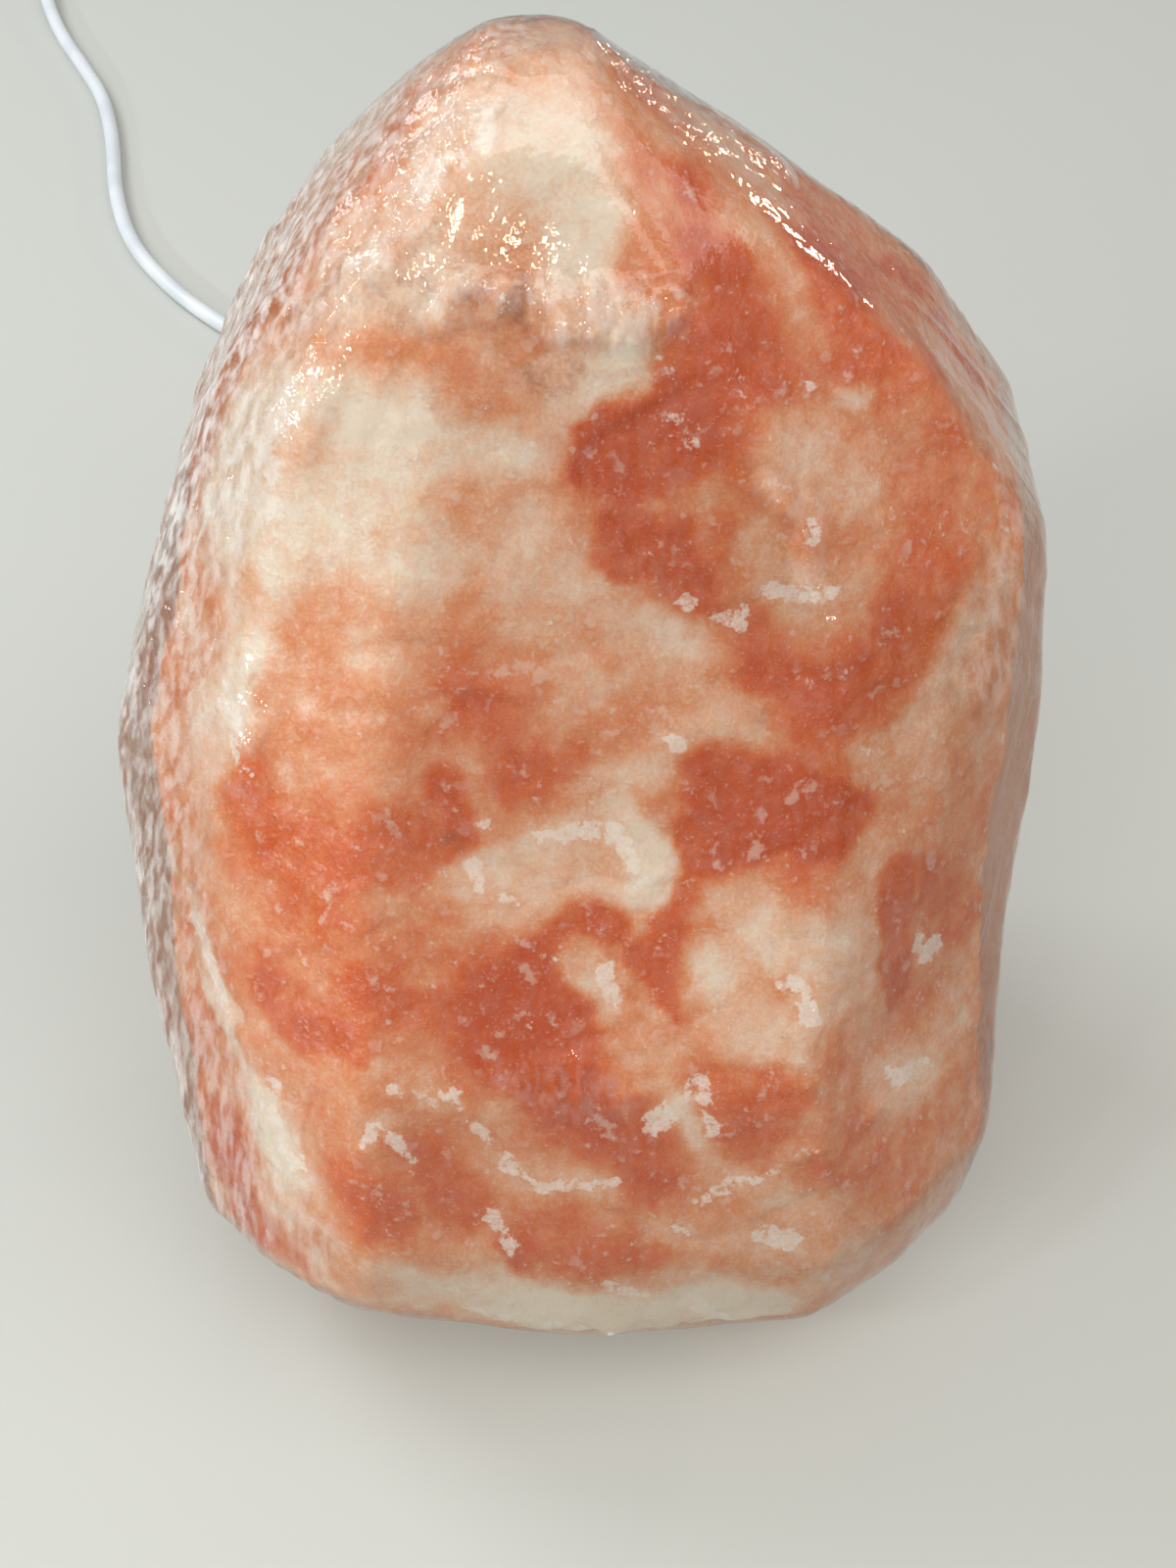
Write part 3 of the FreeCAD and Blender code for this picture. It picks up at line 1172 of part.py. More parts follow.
groove_turn = math.radians(lamp.groove_angle.value)
way = Vector(math.cos(groove_turn), math.sin(groove_turn), 0)
groove_z = base_low.value + lamp.saddle_gap.value + lamp.cord_radius.value
run = lamp.bend_run.value
first_turn = Vector(0, 0, groove_z + run * (math.cos(math.radians(30)) + 0.5))
second_turn = first_turn + way * (run * 0.5) - Vector(0, 0, run * math.cos(math.radians(30)))
third_turn = second_turn + way * (run * math.cos(math.radians(30))) - Vector(0, 0, run * 0.5)
rim = way * lamp.base_radius.value + Vector(0, 0, groove_z)
inner_length = tube("cord_inner", [(0, 0, grip_top.value), first_turn, second_turn, third_turn, rim])
floor_z = lamp.cord_radius.value
coil_z = lamp.cord_radius.value + lamp.tie_wall.value + 0.1
two = Vector(0, 2 * lamp.cord_radius.value, 0)
switch_end = lamp.switch_reach + lamp.boot_length - lamp.boot_hold
switch_spot = Vector(lamp.switch_x.value, lamp.switch_y.value, lamp.switch_split.value)
before_switch = switch_spot - Vector(0, switch_end.value, 0)
after_switch = switch_spot + Vector(0, switch_end.value, 0)
coil_outer = lamp.coil_inner.value + lamp.coil_turns.value * lamp.coil_pitch.value / 2
coil_start = Vector(lamp.coil_x.value - coil_outer, lamp.coil_y.value, coil_z)
plug_turn = math.radians(lamp.plug_angle.value)
plug_back = Vector(math.sin(plug_turn), -math.cos(plug_turn), 0)
plug_spot = Vector(lamp.plug_x.value, lamp.plug_y.value, plug_z.value)
plug_end = (lamp.plug_length + lamp.plug_boot - lamp.boot_hold).value
run_length = tube("cord_run", [
    rim, rim + way * 18.0, (-38.2, 88.0, 3.8), (-42.5, 114.5, floor_z), (-44.0, 147.0, floor_z),
    (-47.5, 184.0, floor_z), (-56.5, 221.0, floor_z), (-74.5, 256.0, floor_z), (-96.0, 281.5, floor_z),
    (-115.5, 297.5, floor_z), (-133.0, 316.0, floor_z), (-150.0, 341.5, floor_z), (-159.8, 372.0, floor_z),
    (-164.8, 405.0, floor_z), (-172.2, 434.5, floor_z), (-183.5, 457.5, floor_z), (-195.8, 481.5, floor_z),
    (-205.0, 507.0, 3.2), before_switch - Vector(0, 22.0, 0), before_switch,
])
link_length = tube("cord_link", [
    after_switch, after_switch + Vector(0, 21.0, 0), (-208.4, 674.0, 4.4),
    coil_start - two * 5, coil_start - two,
])
coil_length, coil_end = coil("cord_coil", coil_start)
tail_length = tube("cord_tail", [
    coil_end - two, coil_end - two * 4, (-131.0, 680.5, 5.0), (-123.0, 663.0, 3.0), (-108.5, 650.0, 3.6),
    plug_spot + plug_back * (plug_end + 22.0), plug_spot + plug_back * plug_end,
])
total = inner_length + run_length + link_length + coil_length + tail_length
print("cord: %.0f mm in all, with %.0f mm through the switch" % (total, total + 82.0))

tie = body("coil_tie")
bundle = lamp.coil_pitch * 2
drawn = sketch(tie, "band", "YZ_Plane")
reach_in = lamp.cord_radius + lamp.tie_gap
tie_middle = lamp.coil_inner + lamp.coil_pitch
wide_in = bundle / 2 + lamp.cord_radius + lamp.tie_gap
low_in, high_in = lamp.tie_wall, lamp.tie_wall + 0.1 + lamp.cord_radius * 2 + lamp.coil_pitch + lamp.tie_gap
rectangle(drawn, -wide_in, low_in, wide_in, high_in)
rectangle(drawn, -wide_in - lamp.tie_wall, 0.0, wide_in + lamp.tie_wall, high_in + lamp.tie_wall)
pad(tie, drawn, lamp.tie_width, "band_pad", both=True)
place(tie, lamp.coil_x + lamp.coil_pitch / 2, lamp.coil_y - tie_middle, 0.0)

doc.recompute()
for item in doc.Objects:
    if "Invalid" in item.State or "Error" in item.State:
        raise RuntimeError("%s failed: %s" % (item.Name, item.State))
os.makedirs("parts", exist_ok=True)
faces = 0
for piece in pieces:
    shape = piece.Shape
    if shape.isNull() or not shape.isValid() or not shape.Solids:
        raise RuntimeError("%s has no valid solid" % piece.Label)
    shape.exportStep("parts/%s.step" % piece.Label)
    faces += len(shape.Faces)
    print("%-16s solids %d, volume %.1f" % (piece.Label, len(shape.Solids), shape.Volume))
print("%d pieces, %d faces" % (len(pieces), faces))
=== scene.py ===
"""Looks of the salt crystal lamp: rock salt in wrinkled clear film, a turned base, flex, switch and plug."""

import json
import logging
import math
from dataclasses import dataclass, field
from enum import Enum

import bmesh
import bpy
import numpy as np
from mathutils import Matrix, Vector
from mathutils.bvhtree import BVHTree


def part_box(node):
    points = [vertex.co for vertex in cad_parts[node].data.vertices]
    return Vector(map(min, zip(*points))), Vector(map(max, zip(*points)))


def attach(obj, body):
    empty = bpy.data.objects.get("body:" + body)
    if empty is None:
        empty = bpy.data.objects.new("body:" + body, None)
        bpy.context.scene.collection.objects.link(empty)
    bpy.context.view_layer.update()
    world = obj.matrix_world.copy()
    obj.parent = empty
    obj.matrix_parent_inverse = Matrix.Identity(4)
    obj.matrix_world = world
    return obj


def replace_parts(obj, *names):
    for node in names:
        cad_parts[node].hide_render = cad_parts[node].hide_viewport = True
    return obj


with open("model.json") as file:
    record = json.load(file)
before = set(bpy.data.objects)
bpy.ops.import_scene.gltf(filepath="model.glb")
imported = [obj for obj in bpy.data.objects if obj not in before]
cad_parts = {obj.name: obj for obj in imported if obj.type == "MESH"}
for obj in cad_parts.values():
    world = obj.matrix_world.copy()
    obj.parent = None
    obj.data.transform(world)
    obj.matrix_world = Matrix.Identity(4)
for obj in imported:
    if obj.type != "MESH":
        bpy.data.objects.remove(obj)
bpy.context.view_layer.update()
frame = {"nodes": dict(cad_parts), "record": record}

log = logging.getLogger("salt_lamp")
MM = 0.001
PICTURE = (1200, 1600)


def tint(red: int, green: int, blue: int) -> tuple[float, float, float, float]:
    """Turn a colour as the eye names it, 0 to 255, into the renderer's own.

    Args:
        red: Red part.
        green: Green part.
        blue: Blue part.

    Returns:
        The colour with an alpha of 1.
    """
    parts = []
    for part in (red, green, blue):
        share = part / 255.0
        parts.append(share / 12.92 if share <= 0.04045 else ((share + 0.055) / 1.055) ** 2.4)
    return (parts[0], parts[1], parts[2], 1.0)


# Clouds: random fields that shape and stain the salt and crease the film


def scatter(cells: np.ndarray, seed: int) -> np.ndarray:
    """Give each whole-numbered cell a random number from 0 to 1.

    Args:
        cells: Whole-numbered places, one row each.
        seed: Which random field.

    Returns:
        One number for each row.
    """
    mask = 0xFFFFFFFF
    cells = cells.astype(np.int64)
    mixed = ((cells[:, 0] * 73856093) ^ (cells[:, 1] * 19349663) ^ (cells[:, 2] * 83492791)
             ^ (seed * 668265263))
    mixed = ((mixed & mask) ^ ((mixed & mask) >> 15)) * 2246822519 & mask
    mixed = (mixed ^ (mixed >> 13)) * 3266489917 & mask
    return ((mixed ^ (mixed >> 16)) & 0xFFFFFF) / float(0xFFFFFF)


def cloud(points: np.ndarray, size: float, seed: int) -> np.ndarray:
    """Give a smooth random field.

    Args:
        points: Places in metres, one row each.
        size: Width of a lump in metres.
        seed: Which random field.

    Returns:
        Values from -1 to 1.
    """
    place = points / size
    cell = np.floor(place)
    part = place - cell
    ease = part * part * (3.0 - 2.0 * part)
    total = np.zeros(len(points))
    for corner in range(8):
        step = np.array([corner & 1, (corner >> 1) & 1, (corner >> 2) & 1])
        share = np.prod(np.where(step == 1, ease, 1.0 - ease), axis=1)
        total += share * scatter(cell + step, seed)
    return total * 2.0 - 1.0


def fractal(points: np.ndarray, size: float, octaves: int, seed: int) -> np.ndarray:
    """Add up clouds of halving size.

    Args:
        points: Places in metres, one row each.
        size: Width of the largest lumps in metres.
        octaves: How many sizes are added.
        seed: Which random field.

    Returns:
        Values from about -1 to 1.
    """
    total = np.zeros(len(points))
    for octave in range(octaves):
        total += cloud(points, size * 0.5 ** octave, seed + octave * 17) * 0.5 ** octave
    return total / (2.0 - 0.5 ** (octaves - 1))


def chips(points: np.ndarray, size: float, seed: int) -> tuple[np.ndarray, np.ndarray]:
    """Break space into random grains, each with a slanted face, as split salt has.

    Args:
        points: Places in metres, one row each.
        size: Width of a grain in metres.
        seed: Which random field.

    Returns:
        The height of the slanted faces, in shares of the size, and the distance to the nearest seam.
    """
    place = points / size
    cell = np.floor(place)
    nearest = np.full(len(points), 9.0)
    second = np.full(len(points), 9.0)
    height = np.zeros(len(points))
    for index in range(27):
        step = np.array([index % 3 - 1, index // 3 % 3 - 1, index // 9 - 1])
        home = cell + step
        away = place - (home + np.stack([scatter(home, seed + k) for k in range(3)], 1))
        distance = np.sqrt((away ** 2).sum(1))
        slant = np.stack([scatter(home, seed + 3 + k) - 0.5 for k in range(3)], 1)
        closer = distance < nearest
        second = np.where(closer, nearest, np.minimum(second, distance))
        height = np.where(closer, (away * slant).sum(1) + 0.3 * (scatter(home, seed + 6) - 0.5), height)
        nearest = np.where(closer, distance, nearest)
    return height, second - nearest


def smooth(low: float, high: float, value: np.ndarray) -> np.ndarray:
    """Ease a value from 0 at low to 1 at high.

    Args:
        low: Where the step starts.
        high: Where the step ends.
        value: The values to ease.

    Returns:
        Values from 0 to 1.
    """
    share = np.clip((value - low) / (high - low), 0.0, 1.0)
    return share * share * (3.0 - 2.0 * share)


# Meshes


def spots(mesh: bpy.types.Mesh) -> np.ndarray:
    """Read a mesh's points.

    Args:
        mesh: The mesh.

    Returns:
        The points, one row each.
    """
    flat = np.zeros(len(mesh.vertices) * 3)
    mesh.vertices.foreach_get("co", flat)
    return flat.reshape(-1, 3)


def facing(mesh: bpy.types.Mesh) -> np.ndarray:
    """Read the direction in which the surface faces at each point of a mesh.

    Args:
        mesh: The mesh.

    Returns:
        The directions, one row each.
    """
    flat = np.zeros(len(mesh.vertices) * 3)
    mesh.vertices.foreach_get("normal", flat)
    return flat.reshape(-1, 3)


def move(mesh: bpy.types.Mesh, points: np.ndarray) -> None:
    """Put a mesh's points at new places."""
    mesh.vertices.foreach_set("co", points.ravel())
    mesh.update()


def ties(mesh: bpy.types.Mesh) -> np.ndarray:
    """Read the pairs of points that a mesh's edges join.

    Args:
        mesh: The mesh.

    Returns:
        The pairs, one row for each edge.
    """
    flat = np.zeros(len(mesh.edges) * 2, np.int64)
    mesh.edges.foreach_get("vertices", flat)
    return flat.reshape(-1, 2)


def even_out(values: np.ndarray, pairs: np.ndarray) -> np.ndarray:
    """Average each point's neighbours.

    Args:
        values: One row for each point.
        pairs: The edges of the mesh.

    Returns:
        The averages, one row for each point.
    """
    count = len(values)
    here, there = pairs.ravel(), pairs[:, ::-1].ravel()
    number = np.maximum(np.bincount(here, minlength=count), 1)
    return np.stack([np.bincount(here, weights=values[there, k], minlength=count) / number
                     for k in range(values.shape[1])], 1)


def piece(name: str, mesh: bpy.types.Mesh | bpy.types.Curve) -> bpy.types.Object:
    """Show a mesh or a curve as an object of its own.

    Args:
        name: The object's name.
        mesh: The mesh or curve.

    Returns:
        The object.
    """
    shown = bpy.data.objects.new(name, mesh)
    bpy.context.scene.collection.objects.link(shown)
    return shown


def modified(holder: bpy.types.Object, kind: str, **values: object) -> bpy.types.Mesh:
    """Return the mesh that one modifier makes of an object.

    Args:
        holder: The object to work on.
        kind: The modifier's kind.
        values: The modifier's settings.

    Returns:
        A new mesh.
    """
    modifier = holder.modifiers.new(kind, kind)
    for word, value in values.items():
        setattr(modifier, word, value)
    bpy.context.view_layer.update()
    made = bpy.data.meshes.new_from_object(holder.evaluated_get(bpy.context.evaluated_depsgraph_get()))
    holder.modifiers.remove(modifier)
    return made


def regrown(mesh: bpy.types.Mesh, grain: float) -> bpy.types.Mesh:
    """Cover a closed mesh with even small squares.

    Args:
        mesh: The closed mesh.
        grain: Width of a square in metres.

    Returns:
        A new mesh.
    """
    holder = piece("regrown", mesh)
    made = modified(holder, "REMESH", mode="VOXEL", voxel_size=grain, adaptivity=0.0)
    bpy.data.objects.remove(holder)
    return made


def shade_smooth(mesh: bpy.types.Mesh) -> None:
    """Shade a mesh as one curved surface."""
    mesh.polygons.foreach_set("use_smooth", [True] * len(mesh.polygons))


def stain(mesh: bpy.types.Mesh, name: str, values: np.ndarray) -> None:
    """Store four values from 0 to 1 at each point of a mesh, for its material.

    Args:
        mesh: The mesh.
        name: The name under which the material finds them.
        values: One row of four for each point.
    """
    layer = mesh.color_attributes.new(name, "FLOAT_COLOR", "POINT")
    layer.data.foreach_set("color", np.clip(values, 0.0, 1.0).ravel())


# Materials


class Surface:
    """A material's nodes, laid from the texture coordinates to the finished surface."""

    def __init__(self, name: str) -> None:
        """Start an empty material.

        Args:
            name: The material's name.
        """
        self.material = bpy.data.materials.new(name)
        self.material.use_nodes = True
        self.tree = self.material.node_tree
        self.tree.nodes.clear()
        self.end = self.node("OutputMaterial")
        self.place = self.node("TexCoord").outputs["Object"]

    def node(self, kind: str, inputs: dict | None = None, **settings: object) -> bpy.types.Node:
        """Add a node.

        Args:
            kind: The node's kind, without its prefix.
            inputs: Values or sockets for its inputs.
            settings: The node's own settings.

        Returns:
            The node.
        """
        made = self.tree.nodes.new("ShaderNode" + kind)
        for word, value in settings.items():
            setattr(made, word, value)
        for word, value in (inputs or {}).items():
            if isinstance(value, bpy.types.NodeSocket):
                self.tree.links.new(value, made.inputs[word])
            else:
                made.inputs[word].default_value = value
        return made

    def stretched(self, x: float, y: float, z: float) -> bpy.types.NodeSocket:
        """Scale the texture coordinates along each axis."""
        return self.node("Mapping", {"Vector": self.place, "Scale": (x, y, z)}).outputs[0]

    def shifted(self, x: float, y: float, z: float) -> bpy.types.NodeSocket:
        """Shift the texture coordinates, for a noise that differs from its neighbours."""
        return self.node("Mapping", {"Vector": self.place, "Location": (x, y, z)}).outputs[0]

    def noise(self, scale: float, detail: float = 3.0, rough: float = 0.5,
              vector: bpy.types.NodeSocket | None = None, warp: float = 0.0) -> bpy.types.NodeSocket:
        """Add a noise texture.

        Args:
            scale: Lumps for each metre.
            detail: How many finer layers it has.
            rough: How strong the finer layers are.
            vector: The coordinates, or None for plain ones.
            warp: How far the noise bends itself.

        Returns:
            The value's socket.
        """
        return self.node("TexNoise", {"Vector": vector or self.place, "Scale": scale, "Detail": detail,
                                      "Roughness": rough, "Distortion": warp}).outputs["Fac"]

    def step(self, value: bpy.types.NodeSocket, low: float, high: float,
             bottom: float = 0.0, top: float = 1.0) -> bpy.types.NodeSocket:
        """Ease a value between two limits.

        Args:
            value: The socket to ease.
            low: Where the step starts.
            high: Where the step ends.
            bottom: The result at the start.
            top: The result at the end.

        Returns:
            The eased value's socket.
        """
        return self.node("MapRange", {"Value": value, "From Min": low, "From Max": high, "To Min": bottom,
                                      "To Max": top}, interpolation_type="SMOOTHSTEP").outputs["Result"]

    def sum(self, kind: str, first: object, second: object) -> bpy.types.NodeSocket:
        """Work out a sum of two values.

        Args:
            kind: The sum's kind, such as ADD or MULTIPLY.
            first: A socket or a number.
            second: A socket or a number.

        Returns:
            The result's socket.
        """
        made = self.node("Math", operation=kind)
        for index, value in enumerate((first, second)):
            if isinstance(value, bpy.types.NodeSocket):
                self.tree.links.new(value, made.inputs[index])
            else:
                made.inputs[index].default_value = value
        return made.outputs[0]

    def centred(self, value: bpy.types.NodeSocket, width: float) -> bpy.types.NodeSocket:
        """Spread a noise about 0 and scale it to a width."""
        return self.sum("MULTIPLY", self.sum("SUBTRACT", value, 0.5), width)

    def ramp(self, value: bpy.types.NodeSocket, stops: tuple) -> bpy.types.NodeSocket:
        """Turn a value into a colour.

        Args:
            value: The value's socket, 0 to 1.
            stops: Pairs of a value and a named colour.

        Returns:
            The colour's socket.
        """
        made = self.node("ValToRGB", {"Fac": value})
        band = made.color_ramp.elements
        while len(band) < len(stops):
            band.new(0.5)
        for element, (spot, named) in zip(band, stops):
            element.position = spot
            element.color = named.value
        return made.outputs["Color"]

    def blend(self, share: object, first: object, second: object, kind: str = "MIX") -> bpy.types.NodeSocket:
        """Blend two colours.

        Args:
            share: How much of the second, a socket or a number.
            first: A colour or a socket.
            second: A colour or a socket.
            kind: How they blend.

        Returns:
            The colour's socket.
        """
        made = self.node("Mix", data_type="RGBA", blend_type=kind)
        for index, value in ((0, share), (6, first), (7, second)):
            if isinstance(value, bpy.types.NodeSocket):
                self.tree.links.new(value, made.inputs[index])
            else:
                made.inputs[index].default_value = value
        return made.outputs[2]

    def relief(self, height: bpy.types.NodeSocket, depth: float, strength: float = 1.0,
               under: bpy.types.NodeSocket | None = None) -> bpy.types.NodeSocket:
        """Raise the surface by a height.

        Args:
            height: The height's socket, 0 to 1.
            depth: The depth of the relief in metres.
            strength: How strong it is.
            under: A relief that this one adds to.

        Returns:
            The normal's socket.
        """
        inputs = {"Height": height, "Distance": depth, "Strength": strength}
        if under is not None:
            inputs["Normal"] = under
        return self.node("Bump", inputs).outputs[0]

    def skin(self, **inputs: object) -> bpy.types.Node:
        """Add the surface itself. Underscores in an input's name stand for spaces."""
        return self.node("BsdfPrincipled", {word.replace("_", " "): value for word, value in inputs.items()})

    def finish(self, shader: bpy.types.Node) -> bpy.types.Material:
        """Wire the last shader to the material's end and return the material."""
        self.tree.links.new(shader.outputs[0], self.end.inputs["Surface"])
        return self.material


class SaltTint(Enum):
    """The colours of the rock salt, from its clearest to its most stained."""

    CREAM = tint(240, 228, 210)
    ROSE = tint(236, 198, 168)
    SALMON = tint(228, 158, 108)
    ORANGE = tint(220, 116, 52)
    EMBER = tint(206, 88, 14)
    CRUST = tint(248, 240, 230)
    RUST = tint(170, 98, 54)


@dataclass(frozen=True)
class RockSalt:
    """Translucent rock salt, stained from cream to deep orange by its mask, with white crust and rust, and
    white specks that are partly its own grains and partly painted glints.
    """

    mask: str = "salt_mask"
    clear: float = 0.22
    depth: float = 0.005

    def build(self) -> bpy.types.Material:
        """Lay the salt's nodes.

        Returns:
            The material.
        """
        nodes = Surface("rock_salt")
        mask = nodes.node("VertexColor", layer_name=self.mask)
        parts = nodes.node("SeparateColor", {"Color": mask.outputs["Color"]})
        coarse = nodes.noise(62.0, 4.0, 0.58)
        fine = nodes.noise(240.0, 3.0, 0.60, nodes.shifted(0.31, 0.17, 0.05))
        wisp = nodes.noise(150.0, 6.0, 0.70)
        sugar = nodes.noise(620.0, 2.0, 0.55)
        finest_noise = nodes.noise(1500.0, 2.0, 0.55)
        cloudy = nodes.sum("ADD", nodes.centred(coarse, 1.0), nodes.centred(fine, 0.55))
        cloudy = nodes.sum("ADD", cloudy, nodes.centred(finest_noise, 0.45))
        # The mask's first channel also carries a painted glow along the upper right edge.
        stained = nodes.sum("ADD", parts.outputs[0], cloudy)
        colour = nodes.ramp(stained, ((0.04, SaltTint.CREAM), (0.27, SaltTint.ROSE), (0.50, SaltTint.SALMON),
                                      (0.74, SaltTint.ORANGE), (1.0, SaltTint.EMBER)))
        ragged = nodes.sum("ADD", nodes.centred(wisp, 2.4), nodes.centred(sugar, 0.7))
        rust = nodes.step(nodes.sum("ADD", parts.outputs[2], ragged), 0.20, 0.95)
        colour = nodes.blend(nodes.sum("MULTIPLY", rust, 0.7), colour, SaltTint.RUST.value)
        lumps = nodes.sum("MULTIPLY", nodes.step(fine, 0.57, 0.68),
                          nodes.step(coarse, 0.40, 0.62, 0.10, 0.50))
        colour = nodes.blend(lumps, colour, SaltTint.CREAM.value)
        # White specks: partly the salt's own white grains, partly painted glints of sparkling grain faces.
        grains_and_glints = nodes.sum("MULTIPLY", nodes.step(sugar, 0.60, 0.72), nodes.step(wisp, 0.42, 0.60, 0.0, 0.45))
        colour = nodes.blend(grains_and_glints, colour, SaltTint.CRUST.value)
        # The finest white specks are likewise partly grains and partly painted glints.
        colour = nodes.blend(nodes.sum("MULTIPLY", nodes.step(finest_noise, 0.60, 0.72), 0.25), colour,
                             SaltTint.CRUST.value)
        crust = nodes.step(nodes.sum("ADD", parts.outputs[1], ragged), 0.44, 0.62)
        milky = nodes.step(finest_noise, 0.35, 0.60, 0.55, 0.95)
        colour = nodes.blend(nodes.sum("MULTIPLY", crust, milky), colour, SaltTint.CRUST.value)
        bumps = nodes.relief(coarse, 2.0 * MM, 0.5)
        bumps = nodes.relief(fine, 1.2 * MM, 0.5, bumps)
        bumps = nodes.relief(sugar, 0.5 * MM, 0.6, bumps)
        rough = nodes.step(fine, 0.35, 0.65, 0.28, 0.55)
        skin = nodes.skin(Base_Color=colour, Roughness=rough, IOR=1.54, Specular_IOR_Level=0.35, Normal=bumps,
                          Subsurface_Weight=self.clear, Subsurface_Radius=(1.0, 0.5, 0.25),
                          Subsurface_Scale=self.depth)
        return nodes.finish(skin)


@dataclass(frozen=True)
class ClearFilm:
    """Clear shrink film: see-through and glossy, with fine pulled creases, milky where it is loose, and
    tinted brownish along its folds as painted shade.
    """

    mask: str = "film_mask"
    gloss: float = 0.04
    # The shade colour tints the see-through film along its folds: painted shade of the creases.
    shade: tuple = (0.80, 0.62, 0.54, 1.0)

    def build(self) -> bpy.types.Material:
        """Lay the film's nodes.

        Returns:
            The material.
        """
        nodes = Surface("clear_film")
        mask = nodes.node("VertexColor", layer_name=self.mask)
        parts = nodes.node("SeparateColor", {"Color": mask.outputs["Color"]})
        pulled = nodes.noise(520.0, 2.0, 0.55, nodes.stretched(1.0, 1.0, 0.18))
        fine = nodes.noise(210.0, 3.0, 0.55)
        creased = nodes.sum("ADD", nodes.sum("MULTIPLY", parts.outputs[0], 0.9), 0.06)
        bumps = nodes.relief(nodes.sum("MULTIPLY", pulled, creased), 0.9 * MM, 0.7)
        bumps = nodes.relief(nodes.sum("MULTIPLY", fine, creased), 1.7 * MM, 0.7, bumps)
        share = nodes.node("Fresnel", {"IOR": 1.5, "Normal": bumps}).outputs[0]
        share = nodes.sum("MINIMUM", nodes.sum("MULTIPLY", share, 1.1), 0.85)
        # Painted shade: the see-through colour turns brownish along the folds.
        fold_shade = nodes.sum("MULTIPLY", parts.outputs[2], nodes.step(pulled, 0.35, 0.6, 0.5, 1.0))
        seen = nodes.blend(fold_shade, (0.985, 0.985, 0.985, 1.0), self.shade)
        clear = nodes.node("BsdfTransparent", {"Color": seen})
        milk = nodes.node("BsdfDiffuse", {"Color": tint(238, 234, 232)})
        haze = nodes.sum("MULTIPLY", nodes.step(pulled, 0.35, 0.70), parts.outputs[1])
        soft = nodes.node("MixShader", {0: haze, 1: clear.outputs[0], 2: milk.outputs[0]})
        shine = nodes.node("BsdfGlossy",
                           {"Color": (1.0, 1.0, 1.0, 1.0), "Roughness": self.gloss, "Normal": bumps})
        return nodes.finish(nodes.node("MixShader", {0: share, 1: soft.outputs[0], 2: shine.outputs[0]}))


@dataclass(frozen=True)
class TurnedWood:
    """Oiled brown hardwood with its grain along X."""

    light: tuple = tint(150, 96, 56)
    dark: tuple = tint(92, 52, 28)

    def build(self) -> bpy.types.Material:
        """Lay the wood's nodes.

        Returns:
            The material.
        """
        nodes = Surface("turned_wood")
        along = nodes.stretched(0.12, 1.0, 1.0)
        rings = nodes.noise(90.0, 4.0, 0.55, along, warp=1.2)
        pores = nodes.noise(900.0, 2.0, 0.6, nodes.stretched(0.05, 1.0, 1.0))
        colour = nodes.blend(nodes.step(rings, 0.35, 0.65), self.light, self.dark)
        colour = nodes.blend(nodes.sum("MULTIPLY", nodes.step(pores, 0.58, 0.7), 0.5), colour,
                             tint(60, 34, 18))
        bumps = nodes.relief(pores, 0.15 * MM, 0.5, nodes.relief(rings, 0.2 * MM, 0.3))
        return nodes.finish(nodes.skin(Base_Color=colour, Roughness=nodes.step(rings, 0.3, 0.7, 0.42, 0.6),
                                       Normal=bumps))


@dataclass(frozen=True)
class Moulded:
    """Moulded plastic or rubber: one colour, faintly mottled, with a fine grain."""

    name: str
    colour: tuple
    shade: tuple
    rough: float = 0.4
    grain: float = 0.06
    coat: float = 0.0

    def build(self) -> bpy.types.Material:
        """Lay the moulded material's nodes.

        Returns:
            The material.
        """
        nodes = Surface(self.name)
        cloudy = nodes.noise(60.0, 3.0, 0.5)
        grain = nodes.noise(2600.0, 2.0, 0.6)
        colour = nodes.blend(nodes.step(cloudy, 0.35, 0.7), self.colour, self.shade)
        rough = nodes.step(nodes.noise(240.0, 3.0), 0.3, 0.7, self.rough - 0.06, self.rough + 0.08)
        return nodes.finish(nodes.skin(Base_Color=colour, Roughness=rough, Coat_Weight=self.coat,
                                       Normal=nodes.relief(grain, self.grain * MM, 0.6)))


@dataclass(frozen=True)
class Metal:
    """Bare or plated metal, with turning marks and faint tarnish."""

    name: str
    colour: tuple
    tarnish: tuple
    rough: float = 0.3

    def build(self) -> bpy.types.Material:
        """Lay the metal's nodes.

        Returns:
            The material.
        """
        nodes = Surface(self.name)
        marks = nodes.noise(1800.0, 2.0, 0.5, nodes.stretched(0.15, 0.15, 1.0))
        patina = nodes.noise(160.0, 4.0, 0.6)
        colour = nodes.blend(nodes.step(patina, 0.45, 0.75), self.colour, self.tarnish)
        rough = nodes.step(marks, 0.3, 0.7, self.rough - 0.08, self.rough + 0.12)
        return nodes.finish(nodes.skin(Base_Color=colour, Metallic=1.0, Roughness=rough,
                                       Normal=nodes.relief(marks, 0.04 * MM, 0.5)))


@dataclass(frozen=True)
class BulbGlass:
    """Thin clear glass with the faint ripple of a blown bulb."""

    def build(self) -> bpy.types.Material:
        """Lay the glass's nodes.

        Returns:
            The material.
        """
        nodes = Surface("bulb_glass")
        ripple = nodes.noise(90.0, 2.0, 0.4)
        return nodes.finish(nodes.skin(Base_Color=(0.97, 0.98, 0.98, 1.0), Roughness=nodes.step(
            ripple, 0.3, 0.8, 0.02, 0.08), IOR=1.46, Transmission_Weight=1.0,
            Normal=nodes.relief(ripple, 0.3 * MM, 0.2)))


@dataclass(frozen=True)
class StudioFloor:
    """The plain pale floor."""

    colour: tuple = tint(200, 202, 197)

    def build(self) -> bpy.types.Material:
        """Return the floor's material."""
        nodes = Surface("studio_floor")
        return nodes.finish(nodes.skin(Base_Color=self.colour, Roughness=0.9, Specular_IOR_Level=0.1))


